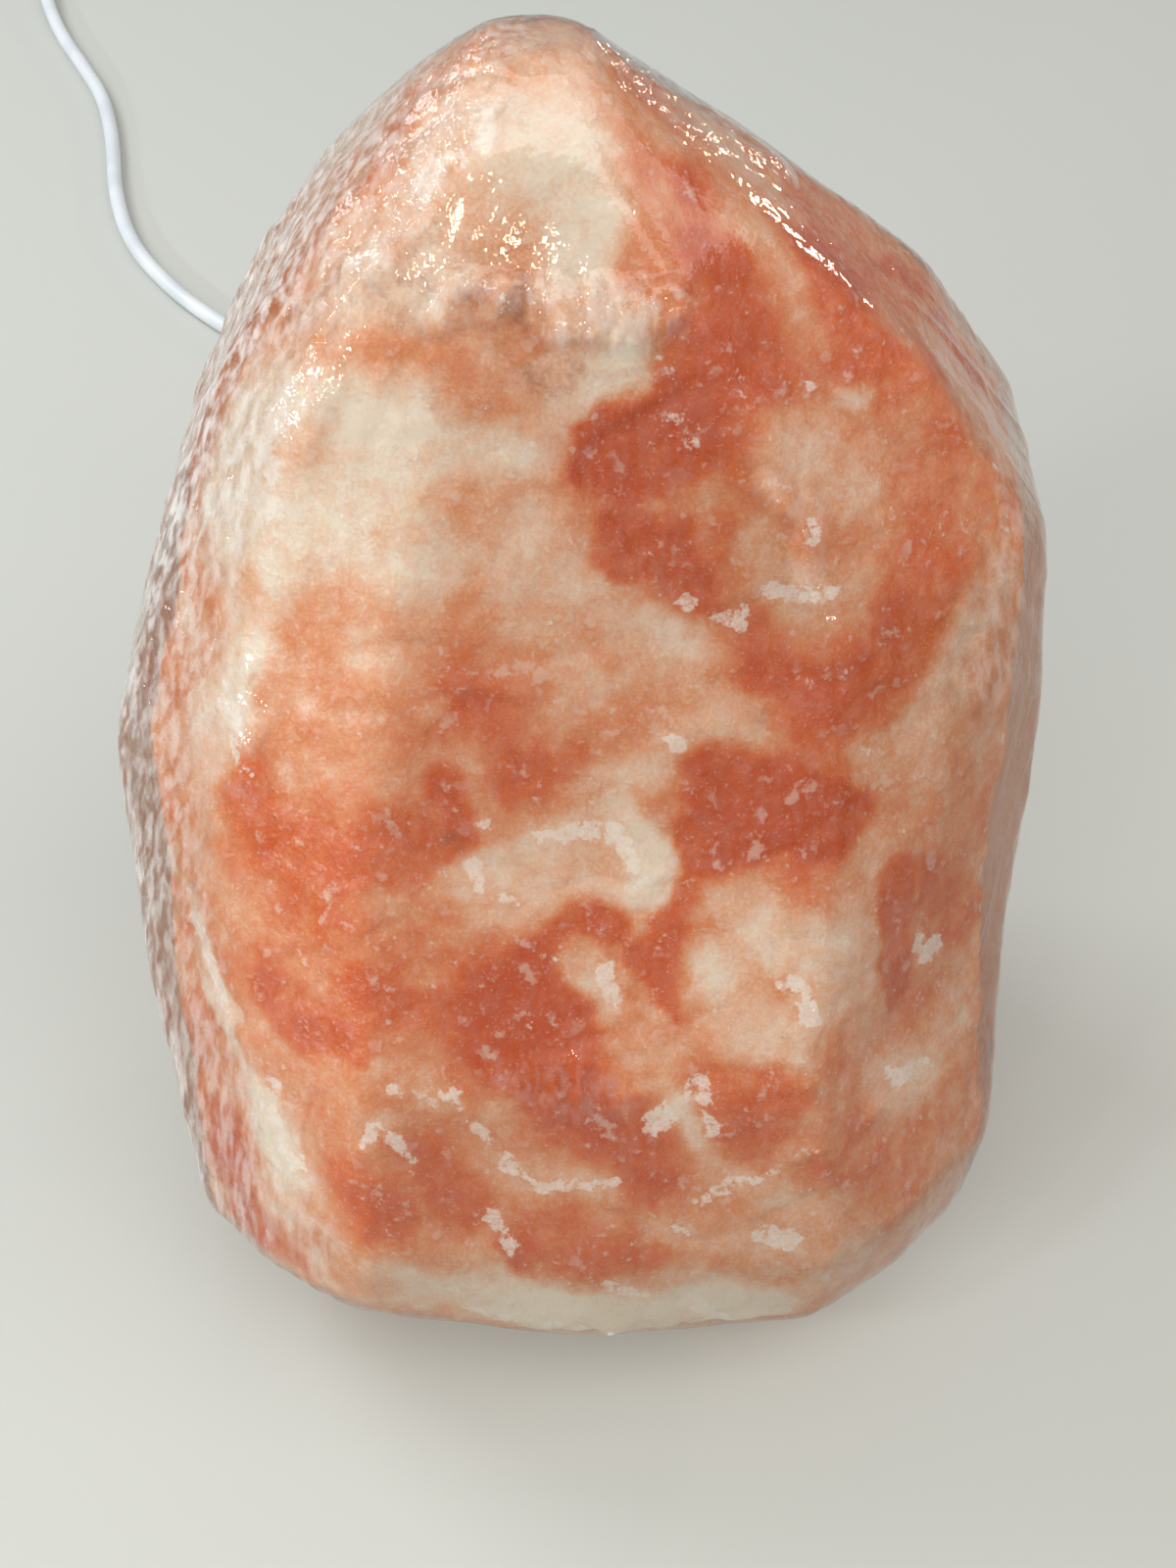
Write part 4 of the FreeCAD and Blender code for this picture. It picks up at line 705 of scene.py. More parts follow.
class Finishes:
    """Every finish of the lamp, built once, under the name of its material slot."""

    def __init__(self) -> None:
        """Build the finishes."""
        recipes = {
            "salt": RockSalt(),
            "film": ClearFilm(),
            "wood": TurnedWood(),
            "foot": Moulded("foot_rubber", tint(38, 37, 36), tint(52, 50, 49), 0.62, 0.12),
            "steel": Metal("zinc_plated_steel", tint(196, 198, 200), tint(168, 164, 152), 0.34),
            "spring": Metal("spring_steel", tint(206, 208, 212), tint(150, 152, 160), 0.26),
            "brass": Metal("plain_brass", tint(214, 178, 96), tint(170, 130, 70), 0.28),
            "holder": Moulded("holder_plastic", tint(236, 232, 220), tint(226, 220, 206), 0.42, 0.05),
            "insert": Moulded("white_porcelain", tint(234, 232, 226), tint(222, 218, 210), 0.22, 0.04, 0.4),
            "wire": Moulded("wire_sleeve", tint(66, 92, 150), tint(52, 76, 132), 0.36, 0.03),
            "glass": BulbGlass(),
            "bulbcap": Metal("bulb_cap_aluminium", tint(214, 215, 218), tint(186, 186, 190), 0.30),
            "black": Moulded("black_glass", tint(16, 16, 19), tint(24, 23, 26), 0.12, 0.02, 0.3),
            "tungsten": Metal("dark_tungsten", tint(116, 112, 108), tint(84, 80, 78), 0.44),
            "cord": Moulded("flex_sheath", tint(226, 231, 236), tint(213, 219, 226), 0.38, 0.04),
            "white": Moulded("white_plastic", tint(238, 238, 237), tint(230, 230, 229), 0.28, 0.04),
            "relief": Moulded("relief_rubber", tint(226, 227, 230), tint(214, 216, 220), 0.50, 0.07),
            "tie": Moulded("black_strip", tint(28, 28, 29), tint(40, 40, 41), 0.46, 0.08),
        }
        self.slots = {slot: recipe.build() for slot, recipe in recipes.items()}

    def dress(self, shown: bpy.types.Object, slot: str, body: str | None = None) -> bpy.types.Object:
        """Give a piece its finish, and let a new piece ride on a body.

        Args:
            shown: The piece.
            slot: The finish's material slot.
            body: The body that it rides on, or None for a carried-over node.

        Returns:
            The same piece.
        """
        shown.data.materials.clear()
        shown.data.materials.append(self.slots[slot])
        if body is not None:
            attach(shown, body)
        return shown


# Camera, studio and floor


@dataclass
class Camera:
    """The camera at the photograph's place: tilted down at the lamp from the front."""

    place: Vector = field(default_factory=lambda: Vector((0.0, -0.3061, 0.4420)))
    height_angle: float = 48.0
    lens: float = 51.75
    centre: tuple = (588.0, 817.3)

    def build(self) -> None:
        """Create the camera and make it the scene's."""
        data = bpy.data.cameras.new("picture_camera")
        data.lens = self.lens
        data.sensor_width = 36.0
        data.clip_start = 0.02
        data.shift_x = (PICTURE[0] / 2 - self.centre[0]) / PICTURE[1]
        data.shift_y = (self.centre[1] - PICTURE[1] / 2) / PICTURE[1]
        shown = bpy.data.objects.new("picture_camera", data)
        shown.location = self.place
        shown.rotation_euler = (math.radians(90.0 - self.height_angle), 0.0, 0.0)
        bpy.context.scene.collection.objects.link(shown)
        bpy.context.scene.camera = shown

    def sight(self, across: float, down: float) -> Vector:
        """Return the direction in which the camera sees a place of the picture.

        Args:
            across: Place across the picture, of 1200.
            down: Place down the picture, of 1600.

        Returns:
            The direction, of length 1.
        """
        reach = self.lens / 36.0 * PICTURE[1]
        right = (across - self.centre[0]) / reach
        rise = (self.centre[1] - down) / reach
        angle = math.radians(self.height_angle)
        ahead = Vector((0.0, math.cos(angle), -math.sin(angle)))
        up = Vector((0.0, math.sin(angle), math.cos(angle)))
        return (ahead + Vector((1.0, 0.0, 0.0)) * right + up * rise).normalized()


@dataclass(frozen=True)
class SoftLamp:
    """A rectangular lamp: where it hangs, its size, its power in watts and its colour."""

    name: str
    place: tuple
    size: tuple
    power: float
    colour: tuple = (1.0, 1.0, 1.0)

    def hang(self, aim: Vector) -> None:
        """Hang the lamp and point it.

        Args:
            aim: Where it points.
        """
        data = bpy.data.lights.new(self.name, "AREA")
        data.shape = "RECTANGLE"
        data.size, data.size_y = self.size
        data.energy = self.power
        data.color = self.colour
        shown = bpy.data.objects.new(self.name, data)
        shown.visible_camera = False
        shown.location = self.place
        shown.rotation_euler = (aim - Vector(self.place)).to_track_quat("-Z", "Y").to_euler()
        bpy.context.scene.collection.objects.link(shown)


@dataclass
class Studio:
    """The pale floor and the soft lamps over it."""

    fill: float = 0.40
    pale: float = 0.50
    lamps: tuple = (
        SoftLamp("window_left", (-0.88, -0.79, 0.52), (0.50, 0.07), 4.4, (0.90, 0.96, 1.0)),
        SoftLamp("window_high", (-0.78, -0.61, 0.92), (0.10, 0.10), 1.4, (0.90, 0.96, 1.0)),
        SoftLamp("window_back", (-0.85, 0.55, 0.85), (0.55, 0.50), 5.6, (0.96, 0.99, 1.0)),
        SoftLamp("ceiling", (0.15, -0.80, 1.50), (1.50, 1.10), 10.5, (1.0, 0.98, 0.96)),
        SoftLamp("ceiling_right", (1.10, -0.20, 1.35), (0.90, 0.90), 4.0, (1.0, 0.98, 0.96)),
        SoftLamp("warm_high", (-0.59, -0.70, 1.03), (0.06, 0.05), 0.60, (1.0, 0.86, 0.60)),
        SoftLamp("warm_low", (-0.44, -1.10, 0.66), (0.06, 0.05), 0.60, (1.0, 0.84, 0.55)),
        SoftLamp("warm_middle", (-0.16, -1.25, 0.66), (0.07, 0.04), 0.45, (1.0, 0.88, 0.64)),
        SoftLamp("warm_right", (0.78, -0.64, 0.93), (0.12, 0.03), 0.50, (1.0, 0.90, 0.70)),
        SoftLamp("warm_back", (0.95, 0.98, 0.42), (0.12, 0.05), 1.20, (1.0, 0.90, 0.70)),
        SoftLamp("spark", (0.61, -1.15, 0.12), (0.03, 0.03), 0.12, (1.0, 0.98, 0.95)),
    )

    def air(self) -> bpy.types.World:
        """Make the air of the studio: a soft even fill, which looks pale itself.

        Returns:
            The world.
        """
        world = bpy.data.worlds.new("studio_air")
        world.use_nodes = True
        nodes, links = world.node_tree.nodes, world.node_tree.links
        ray = nodes.new("ShaderNodeLightPath")
        seen = nodes.new("ShaderNodeMath")
        seen.operation = "MAXIMUM"
        links.new(ray.outputs["Is Camera Ray"], seen.inputs[0])
        links.new(ray.outputs["Is Glossy Ray"], seen.inputs[1])
        through = nodes.new("ShaderNodeMath")
        through.operation = "MAXIMUM"
        links.new(seen.outputs[0], through.inputs[0])
        links.new(ray.outputs["Is Transmission Ray"], through.inputs[1])
        level = nodes.new("ShaderNodeMapRange")
        level.inputs["To Min"].default_value = self.fill
        level.inputs["To Max"].default_value = self.pale
        links.new(through.outputs[0], level.inputs["Value"])
        air = nodes["Background"]
        air.inputs["Color"].default_value = (1.0, 1.0, 1.0, 1.0)
        links.new(level.outputs["Result"], air.inputs["Strength"])
        return world

    def build(self, aim: Vector) -> None:
        """Lay the floor and hang the lamps.

        Args:
            aim: The place at which the lamps point.
        """
        scene = bpy.context.scene
        scene.view_settings.view_transform = "Standard"
        scene.world = self.air()
        mesh = bpy.data.meshes.new("studio_floor")
        mesh.from_pydata([(-4, -4, 0), (4, -4, 0), (4, 4, 0), (-4, 4, 0)], [], [(0, 1, 2, 3)])
        mesh.materials.append(StudioFloor().build())
        piece("studio_floor", mesh)
        for lamp in self.lamps:
            lamp.hang(aim)


# The flex


@dataclass
class Flex:
    """The round white flex: its inner lead, its run over the floor and its put-away coil."""

    diameter: float = 5.0
    floor: float = 2.5
    base: float = 56.0
    groove: float = 115.0
    groove_height: float = 5.7
    grip: float = 56.5
    bend: float = 15.0
    switch: tuple = (-210.0, 593.0, 8.0)
    switch_end: float = 41.0
    coil_middle: tuple = (-173.25, 718.0, 3.2)
    coil_inner: float = 20.0
    coil_pitch: float = 5.5
    coil_turns: int = 5
    plug: tuple = (-22.9, 631.9, 6.85)
    plug_angle: float = -99.5
    plug_end: float = 48.0
    pieces: list = field(default_factory=list)

    def way(self) -> Vector:
        """Return the direction of the cord's groove."""
        angle = math.radians(self.groove)
        return Vector((math.cos(angle), math.sin(angle), 0.0))

    def rim(self) -> Vector:
        """Return the place where the flex leaves the base."""
        return self.way() * self.base + Vector((0.0, 0.0, self.groove_height))

    def inner_route(self) -> list[Vector]:
        """Lead the flex from the lampholder's grip to the base's rim.

        Returns:
            The points of the route.
        """
        side, drop = self.bend * 0.5, self.bend * math.cos(math.radians(30.0))
        first = Vector((0.0, 0.0, self.groove_height + drop + side))
        second = first + self.way() * side - Vector((0.0, 0.0, drop))
        third = second + self.way() * drop - Vector((0.0, 0.0, side))
        return [Vector((0.0, 0.0, self.grip)), first, second, third, self.rim()]

    def run_route(self) -> list[Vector]:
        """Lead the flex over the floor from the base to the switch.

        Returns:
            The points of the route.
        """
        middle = Vector(self.switch)
        end = middle - Vector((0.0, self.switch_end, 0.0))
        free = [(-38.2, 88.0, 3.8), (-42.5, 114.5, 2.5), (-44.0, 147.0, 2.5), (-47.5, 184.0, 2.5),
                (-56.5, 221.0, 2.5), (-74.5, 256.0, 2.5), (-96.0, 281.5, 2.5), (-115.5, 297.5, 2.5),
                (-133.0, 316.0, 2.5), (-150.0, 341.5, 2.5), (-159.8, 372.0, 2.5), (-164.8, 405.0, 2.5),
                (-172.2, 434.5, 2.5), (-183.5, 457.5, 2.5), (-195.8, 481.5, 2.5), (-205.0, 507.0, 3.2)]
        route = [self.rim(), self.rim() + self.way() * 18.0]
        route += [Vector(point) for point in free]
        return route + [end - Vector((0.0, 22.0, 0.0)), end]

    def tail_route(self) -> list[Vector]:
        """Lead the flex from the switch through the coil to the plug.

        Returns:
            The points of the route.
        """
        start = Vector(self.switch) + Vector((0.0, self.switch_end, 0.0))
        middle = Vector(self.coil_middle)
        outer = self.coil_inner + self.coil_turns * self.coil_pitch / 2
        inlet = middle - Vector((outer, 0.0, 0.0))
        route = [start, start + Vector((0.0, 21.0, 0.0)), Vector((-208.4, 674.0, 4.4)),
                 inlet - Vector((0.0, 25.0, 0.0)), inlet - Vector((0.0, 5.0, 0.0))]
        route += self.coil_points(inlet)
        outlet = self.coil_end(inlet)
        angle = math.radians(self.plug_angle)
        back = Vector((math.sin(angle), -math.cos(angle), 0.0))
        plug = Vector(self.plug)
        route += [outlet - Vector((0.0, 20.0, 0.0)), Vector((-131.0, 680.5, 5.0)),
                  Vector((-123.0, 663.0, 3.0)),
                  Vector((-108.5, 650.0, 3.6)), plug + back * (self.plug_end + 22.0),
                  plug + back * self.plug_end]
        return route

    def half_turns(self, inlet: Vector) -> list[tuple[Vector, float, float, float]]:
        """Lay out the coil's half turns.

        Args:
            inlet: Where the coil starts.

        Returns:
            For each half turn its start, its radius, its side and its climb.
        """
        laid, spot = [], inlet.copy()
        for index in range(2 * self.coil_turns + 1):
            radius = self.coil_inner + abs(index - self.coil_turns) * self.coil_pitch / 2
            side = 1.0 if index % 2 == 0 else -1.0
            climb = self.coil_pitch if index == self.coil_turns else 0.0
            laid.append((spot.copy(), radius, side, climb))
            spot += Vector((2.0 * radius * side, 0.0, climb))
        return laid

    def coil_end(self, inlet: Vector) -> Vector:
        """Return the place where the coil ends."""
        spot, radius, side, climb = self.half_turns(inlet)[-1]
        return spot + Vector((2.0 * radius * side, 0.0, climb))

    def coil_points(self, inlet: Vector) -> list[Vector]:
        """Wind the coil's control points, eight for each half turn.

        Args:
            inlet: Where the coil starts.

        Returns:
            The points.
        """
        count, points = 8, []
        swell = 1.0 / math.cos(math.pi / count / 2.0) ** 0.5
        for spot, radius, side, climb in self.half_turns(inlet):
            middle = spot + Vector((radius * side, 0.0, 0.0))
            for index in range(count):
                share = (index + 0.5) / count
                angle = math.pi * share
                points.append(middle + Vector((
                    -math.cos(angle) * radius * side * swell,
                    math.sin(angle) * radius * side * swell,
                    climb * share * share * (3.0 - 2.0 * share))))
        return points

    def curve(self, name: str, route: list[Vector]) -> bpy.types.Object:
        """Draw a smooth round cord along a route.

        Args:
            name: The cord's name.
            route: Its control points in millimetres.

        Returns:
            The cord.
        """
        data = bpy.data.curves.new(name, "CURVE")
        data.dimensions = "3D"
        spline = data.splines.new("NURBS")
        spline.points.add(len(route) - 1)
        for point, spot in zip(spline.points, route):
            point.co = (spot.x * MM, spot.y * MM, spot.z * MM, 1.0)
        spline.order_u = 3
        spline.use_endpoint_u = True
        spline.resolution_u = 8
        data.bevel_depth = self.diameter / 2 * MM
        data.bevel_resolution = 6
        data.use_fill_caps = True
        return piece(name, data)

    def build(self) -> None:
        """Make the three stretches of the flex."""
        self.pieces = [
            ("flex_inner", self.inner_route(), ["cord_inner"]),
            ("flex_run", self.run_route(), ["cord_run"]),
            ("flex_tail", self.tail_route(), ["cord_link", "cord_coil", "cord_tail"]),
        ]
        self.pieces = [(self.curve(name, route), route, nodes) for name, route, nodes in self.pieces]

    def dress(self, finishes: Finishes) -> None:
        """Finish the flex and hide the imported cord nodes that it replaces.

        Args:
            finishes: The lamp's finishes.
        """
        for shown, _, nodes in self.pieces:
            finishes.dress(shown, "cord", "lamp")
            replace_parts(shown, *nodes)


# The bulb's screw threads and filament


@dataclass(frozen=True)
class Thread:
    """A threaded sleeve: its CAD node, body and finish, and its pitch, depth and wall in millimetres."""

    node: str
    body: str
    slot: str
    pitch: float
    depth: float
    wall: float
    plain: float = 0.9
    around: int = 56

    def build(self) -> bpy.types.Object:
        """Roll the sleeve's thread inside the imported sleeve's box.

        Returns:
            The sleeve.
        """
        low, high = (np.array(corner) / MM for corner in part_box(self.node))
        middle, radius = (low + high) / 2, (high[0] - low[0]) / 2
        rings = max(12, int((high[2] - low[2]) / self.pitch * 14))
        rise = np.linspace(low[2], high[2], rings + 1)[:, None]
        turn = np.arange(self.around)[None, :] / self.around
        fade = smooth(0.0, self.plain, rise - low[2]) * smooth(0.0, self.plain, high[2] - rise)
        wave = 0.5 - 0.5 * np.cos(2.0 * math.pi * (rise / self.pitch - turn))
        sides = [radius - self.depth * wave * fade, radius - self.wall - self.depth * wave * fade]
        points = [np.stack([middle[0] + side * np.cos(2.0 * math.pi * turn),
                            middle[1] + side * np.sin(2.0 * math.pi * turn),
                            rise + 0.0 * side], 2).reshape(-1, 3) for side in sides]
        mesh = bpy.data.meshes.new(self.node + "_thread")
        mesh.from_pydata((np.concatenate(points) * MM).tolist(), [], self.faces(rings))
        shade_smooth(mesh)
        return piece(self.node + "_thread", mesh)

    def faces(self, rings: int) -> list[tuple[int, int, int, int]]:
        """Join the rings of the outer and the inner side.

        Args:
            rings: How many steps the sleeve has.

        Returns:
            The faces' points.
        """
        joined, count, inner = [], self.around, self.around * (rings + 1)
        for near in range(count):
            far = (near + 1) % count
            for ring in range(rings):
                low, high = ring * count, (ring + 1) * count
                joined.append((low + near, low + far, high + far, high + near))
                joined.append((inner + low + far, inner + low + near, inner + high + near,
                               inner + high + far))
            top = rings * count
            joined.append((near, inner + near, inner + far, far))
            joined.append((top + far, inner + top + far, inner + top + near, top + near))
        return joined


@dataclass
class ScrewBulb:
    """The bulb's screw cap, the sleeve that it turns in, the holder's nipple and the coiled filament."""

    threads: tuple = (
        Thread("bulb_cap", "bulb", "bulbcap", 2.82, 0.30, 0.22),
        Thread("socket_shell", "lamp", "brass", 2.82, 0.22, 0.18),
        Thread("threaded_nipple", "lamp", "steel", 1.0, 0.30, 1.35, 0.4),
    )
    coil: float = 0.26
    wire: float = 0.07
    pitch: float = 0.30

    def filament(self) -> bpy.types.Object:
        """Wind the filament along its arch.

        Returns:
            The filament.
        """
        low, high = (np.array(corner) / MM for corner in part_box("bulb_filament"))
        reach, rise = (high[0] - low[0]) / 2 - self.coil - self.wire, high[2] - low[2] - self.coil - self.wire
        middle = (low + high) / 2
        count = int(2.6 * reach / self.pitch) * 10
        share = np.linspace(0.0, 1.0, count)
        angle = math.pi * share
        turn = 2.0 * math.pi * np.arange(count) / 10
        across = -np.cos(angle) * (reach + self.coil * np.cos(turn))
        up = np.sin(angle) * (rise + self.coil * np.cos(turn))
        data = bpy.data.curves.new("wound_filament", "CURVE")
        data.dimensions = "3D"
        spline = data.splines.new("POLY")
        spline.points.add(count - 1)
        for point, x, y, z in zip(spline.points, across, np.sin(turn) * self.coil, up):
            point.co = ((middle[0] + x) * MM, (middle[1] + y) * MM, (low[2] + max(z, 0.05)) * MM, 1.0)
        data.bevel_depth = self.wire * MM
        data.bevel_resolution = 1
        return piece("wound_filament", data)

    def build(self, finishes: Finishes) -> None:
        """Make the threads and the filament, finish them and hide the plain imported ones.

        Args:
            finishes: The lamp's finishes.
        """
        for thread in self.threads:
            finishes.dress(thread.build(), thread.slot, thread.body)
            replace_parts(bpy.data.objects[thread.node + "_thread"], thread.node)
        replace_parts(finishes.dress(self.filament(), "tungsten", "bulb"), "bulb_filament")


# The rock salt


@dataclass(frozen=True)
class Stroke:
    """A stroke of stain, or of painted glow: two places of the picture between which it runs, and its half
    width in millimetres.

    Its depth is how stained the salt is there, from 0, clear, to 1, and its blur is the width of its
    edge as a share of the half width.
    """

    across: float
    down: float
    to_across: float
    to_down: float
    reach: float
    depth: float = 1.0
    blur: float = 0.6


STAINS_AND_GLOW = (
    # Salmon ground of the front, and the paler salt round it
    Stroke(450, 620, 620, 720, 22, 0.52, 0.9), Stroke(300, 680, 420, 760, 18, 0.50, 0.9),
    Stroke(170, 560, 190, 980, 12, 0.08, 0.6), Stroke(210, 640, 230, 820, 5, 0.24),
    Stroke(120, 700, 150, 1000, 8, 0.22),
    Stroke(255, 430, 250, 560, 11, 0.0), Stroke(330, 490, 410, 550, 12, 0.08),
    Stroke(430, 460, 530, 470, 7, 0.2),
    Stroke(310, 380, 400, 430, 10, 0.10), Stroke(330, 300, 400, 250, 9, 0.3),
    Stroke(610, 300, 600, 420, 7, 0.3),
    Stroke(240, 600, 235, 760, 5, 0.2), Stroke(560, 70, 450, 210, 12, 0.22),
    Stroke(580, 150, 590, 260, 10, 0.12),
    Stroke(560, 620, 625, 700, 11, 0.36), Stroke(640, 330, 680, 420, 8, 0.27),
    Stroke(620, 20, 700, 120, 6, 0.5),
    Stroke(740, 150, 800, 210, 8, 0.34), Stroke(700, 240, 800, 255, 7, 0.36),
    Stroke(540, 560, 560, 620, 8, 0.30),
    # Deep orange on the upper right
    Stroke(860, 420, 980, 620, 13, 0.66, 0.8), Stroke(735, 290, 745, 430, 9, 0.98),
    Stroke(840, 260, 900, 340, 8, 0.92),
    Stroke(930, 330, 960, 400, 5, 0.8), Stroke(700, 430, 640, 480, 8, 1.0, 0.3),
    Stroke(632, 450, 632, 560, 6.5, 1.0, 0.2),
    Stroke(660, 560, 720, 620, 6, 0.9, 0.3), Stroke(800, 660, 880, 700, 8, 0.96),
    Stroke(900, 600, 930, 680, 7, 0.76),
    Stroke(870, 380, 980, 470, 6, 0.7), Stroke(665, 265, 700, 300, 5, 0.62),
    Stroke(722, 180, 735, 205, 4, 0.8),
    Stroke(770, 150, 850, 235, 3.5, 0.7), Stroke(800, 740, 860, 765, 6, 0.8),
    Stroke(760, 640, 790, 660, 5, 0.85),
    Stroke(745, 500, 750, 560, 5, 0.8),
    # Painted glow: deep orange along the upper right edge stands for light shining through the salt from
    # behind.
    Stroke(900, 262, 985, 360, 3.5, 0.95, 0.5), Stroke(985, 360, 1046, 440, 3.5, 0.9, 0.5),
    # Rosy clouds among it
    Stroke(800, 450, 880, 480, 8, 0.44), Stroke(780, 560, 850, 620, 8, 0.36),
    Stroke(862, 398, 872, 402, 3, 0.1),
    Stroke(690, 690, 750, 745, 8, 0.34), Stroke(630, 800, 700, 790, 5, 0.3),
    Stroke(985, 420, 1030, 450, 6, 0.4),
    Stroke(1015, 600, 950, 740, 6, 0.34), Stroke(885, 780, 950, 790, 6, 0.32),
    Stroke(660, 640, 740, 660, 4, 0.3),
    # Deep orange in the middle and on the lower left
    Stroke(745, 800, 830, 850, 9, 1.0, 0.3), Stroke(720, 850, 720, 960, 7, 0.98, 0.25),
    Stroke(690, 900, 690, 960, 5, 0.96, 0.2),
    Stroke(670, 985, 700, 1020, 5, 0.92, 0.25), Stroke(500, 960, 560, 1060, 11, 1.0),
    Stroke(560, 950, 620, 955, 4, 0.9, 0.3),
    Stroke(470, 1060, 560, 1130, 7, 0.9), Stroke(580, 1140, 660, 1185, 8, 0.9),
    Stroke(430, 1180, 480, 1235, 7, 0.82),
    Stroke(345, 1050, 360, 1070, 4, 0.8), Stroke(270, 860, 430, 880, 10, 0.76),
    Stroke(300, 940, 450, 930, 9, 0.58),
    Stroke(280, 1010, 310, 1030, 6, 0.96), Stroke(370, 1010, 430, 1030, 5, 0.85),
    Stroke(225, 1160, 250, 1230, 8, 0.86),
    Stroke(350, 1200, 390, 1250, 7, 0.76), Stroke(250, 800, 280, 820, 6, 0.76),
    Stroke(450, 800, 470, 850, 3, 0.95),
    Stroke(500, 740, 560, 790, 7, 0.78), Stroke(270, 1255, 330, 1290, 6, 0.72),
    Stroke(560, 1260, 650, 1275, 7, 0.74),
    Stroke(542, 1285, 545, 1292, 3, 0.95), Stroke(750, 1090, 800, 1130, 6, 0.75),
    # Orange on the lower right, with its upright edge
    Stroke(912, 905, 925, 1005, 6, 0.9, 0.25), Stroke(945, 900, 985, 940, 6, 0.78),
    Stroke(965, 880, 1000, 970, 7, 0.85), Stroke(1000, 740, 1025, 790, 5, 0.7),
    Stroke(820, 1080, 880, 1130, 7, 0.7), Stroke(755, 1150, 775, 1170, 4, 0.85),
    Stroke(840, 1190, 930, 1200, 7, 0.6),
    Stroke(950, 1120, 985, 1150, 8, 0.56),
    # Pale patches of the lower half
    Stroke(510, 900, 640, 880, 9, 0.30, 0.3), Stroke(640, 850, 655, 900, 5, 0.14, 0.25),
    Stroke(760, 930, 850, 965, 8, 0.2),
    Stroke(735, 1000, 760, 1050, 6, 0.25), Stroke(600, 985, 622, 1040, 4, 0.22),
    Stroke(830, 1020, 800, 1070, 5, 0.26),
    Stroke(900, 1090, 945, 1095, 6, 0.26), Stroke(700, 1130, 720, 1150, 4, 0.14),
    Stroke(200, 930, 240, 1060, 5, 0.15),
    Stroke(240, 1060, 290, 1190, 5, 0.12), Stroke(372, 1080, 380, 1135, 3, 0.26),
    Stroke(330, 1295, 420, 1325, 4, 0.3),
    Stroke(450, 1315, 600, 1350, 8, 0.0), Stroke(600, 1350, 770, 1335, 8, 0.02),
    Stroke(680, 1250, 800, 1280, 5, 0.3),
)
CRUSTS = (
    Stroke(400, 1108, 440, 1118, 2.0), Stroke(440, 1118, 474, 1128, 3.0), Stroke(478, 1140, 512, 1188, 1.6),
    Stroke(512, 1188, 560, 1212, 2.0), Stroke(560, 1212, 630, 1206, 1.8), Stroke(275, 1110, 300, 1190, 3.0),
    Stroke(372, 1168, 386, 1138, 1.3), Stroke(386, 1138, 425, 1192, 1.3), Stroke(658, 1152, 702, 1112, 2.6),
    Stroke(706, 1100, 726, 1152, 2.2), Stroke(670, 1240, 700, 1256, 1.8), Stroke(836, 1164, 790, 1196, 2.2),
    Stroke(790, 1196, 716, 1226, 2.0), Stroke(780, 1262, 806, 1268, 2.4), Stroke(716, 1330, 740, 1346, 3.0),
    Stroke(520, 918, 486, 912, 2.0), Stroke(486, 912, 476, 886, 2.0), Stroke(492, 838, 506, 852, 2.0),
    Stroke(560, 856, 640, 850, 2.6), Stroke(640, 850, 658, 900, 2.0), Stroke(938, 958, 952, 972, 2.8),
    Stroke(910, 1100, 940, 1088, 2.6), Stroke(826, 396, 834, 404, 2.0), Stroke(786, 600, 850, 612, 2.4),
    Stroke(700, 612, 762, 642, 1.4), Stroke(668, 742, 702, 772, 1.4), Stroke(480, 1336, 620, 1362, 2.6),
    Stroke(620, 1362, 740, 1350, 2.4), Stroke(630, 1312, 672, 1330, 2.6), Stroke(508, 1244, 522, 1284, 1.6),
    Stroke(230, 700, 250, 780, 2.4), Stroke(200, 940, 236, 1050, 2.6), Stroke(820, 540, 830, 560, 1.8),
    Stroke(800, 1000, 836, 1040, 1.6), Stroke(612, 988, 624, 1030, 1.5), Stroke(560, 640, 572, 652, 1.2),
    Stroke(286, 400, 270, 520, 3.6), Stroke(430, 190, 500, 120, 3.0),
)
RUSTS = (
    Stroke(430, 262, 530, 300, 7, 0.6), Stroke(505, 300, 550, 370, 6, 0.7),
    Stroke(400, 340, 470, 400, 6, 0.5),
    Stroke(463, 850, 468, 862, 2, 1.0), Stroke(776, 728, 780, 732, 1.6, 0.8),
    Stroke(296, 330, 340, 290, 3, 0.8),
    Stroke(380, 160, 440, 100, 3, 0.7), Stroke(535, 290, 545, 360, 2.5, 0.8),
    Stroke(548, 1106, 556, 1112, 2, 0.7),
)


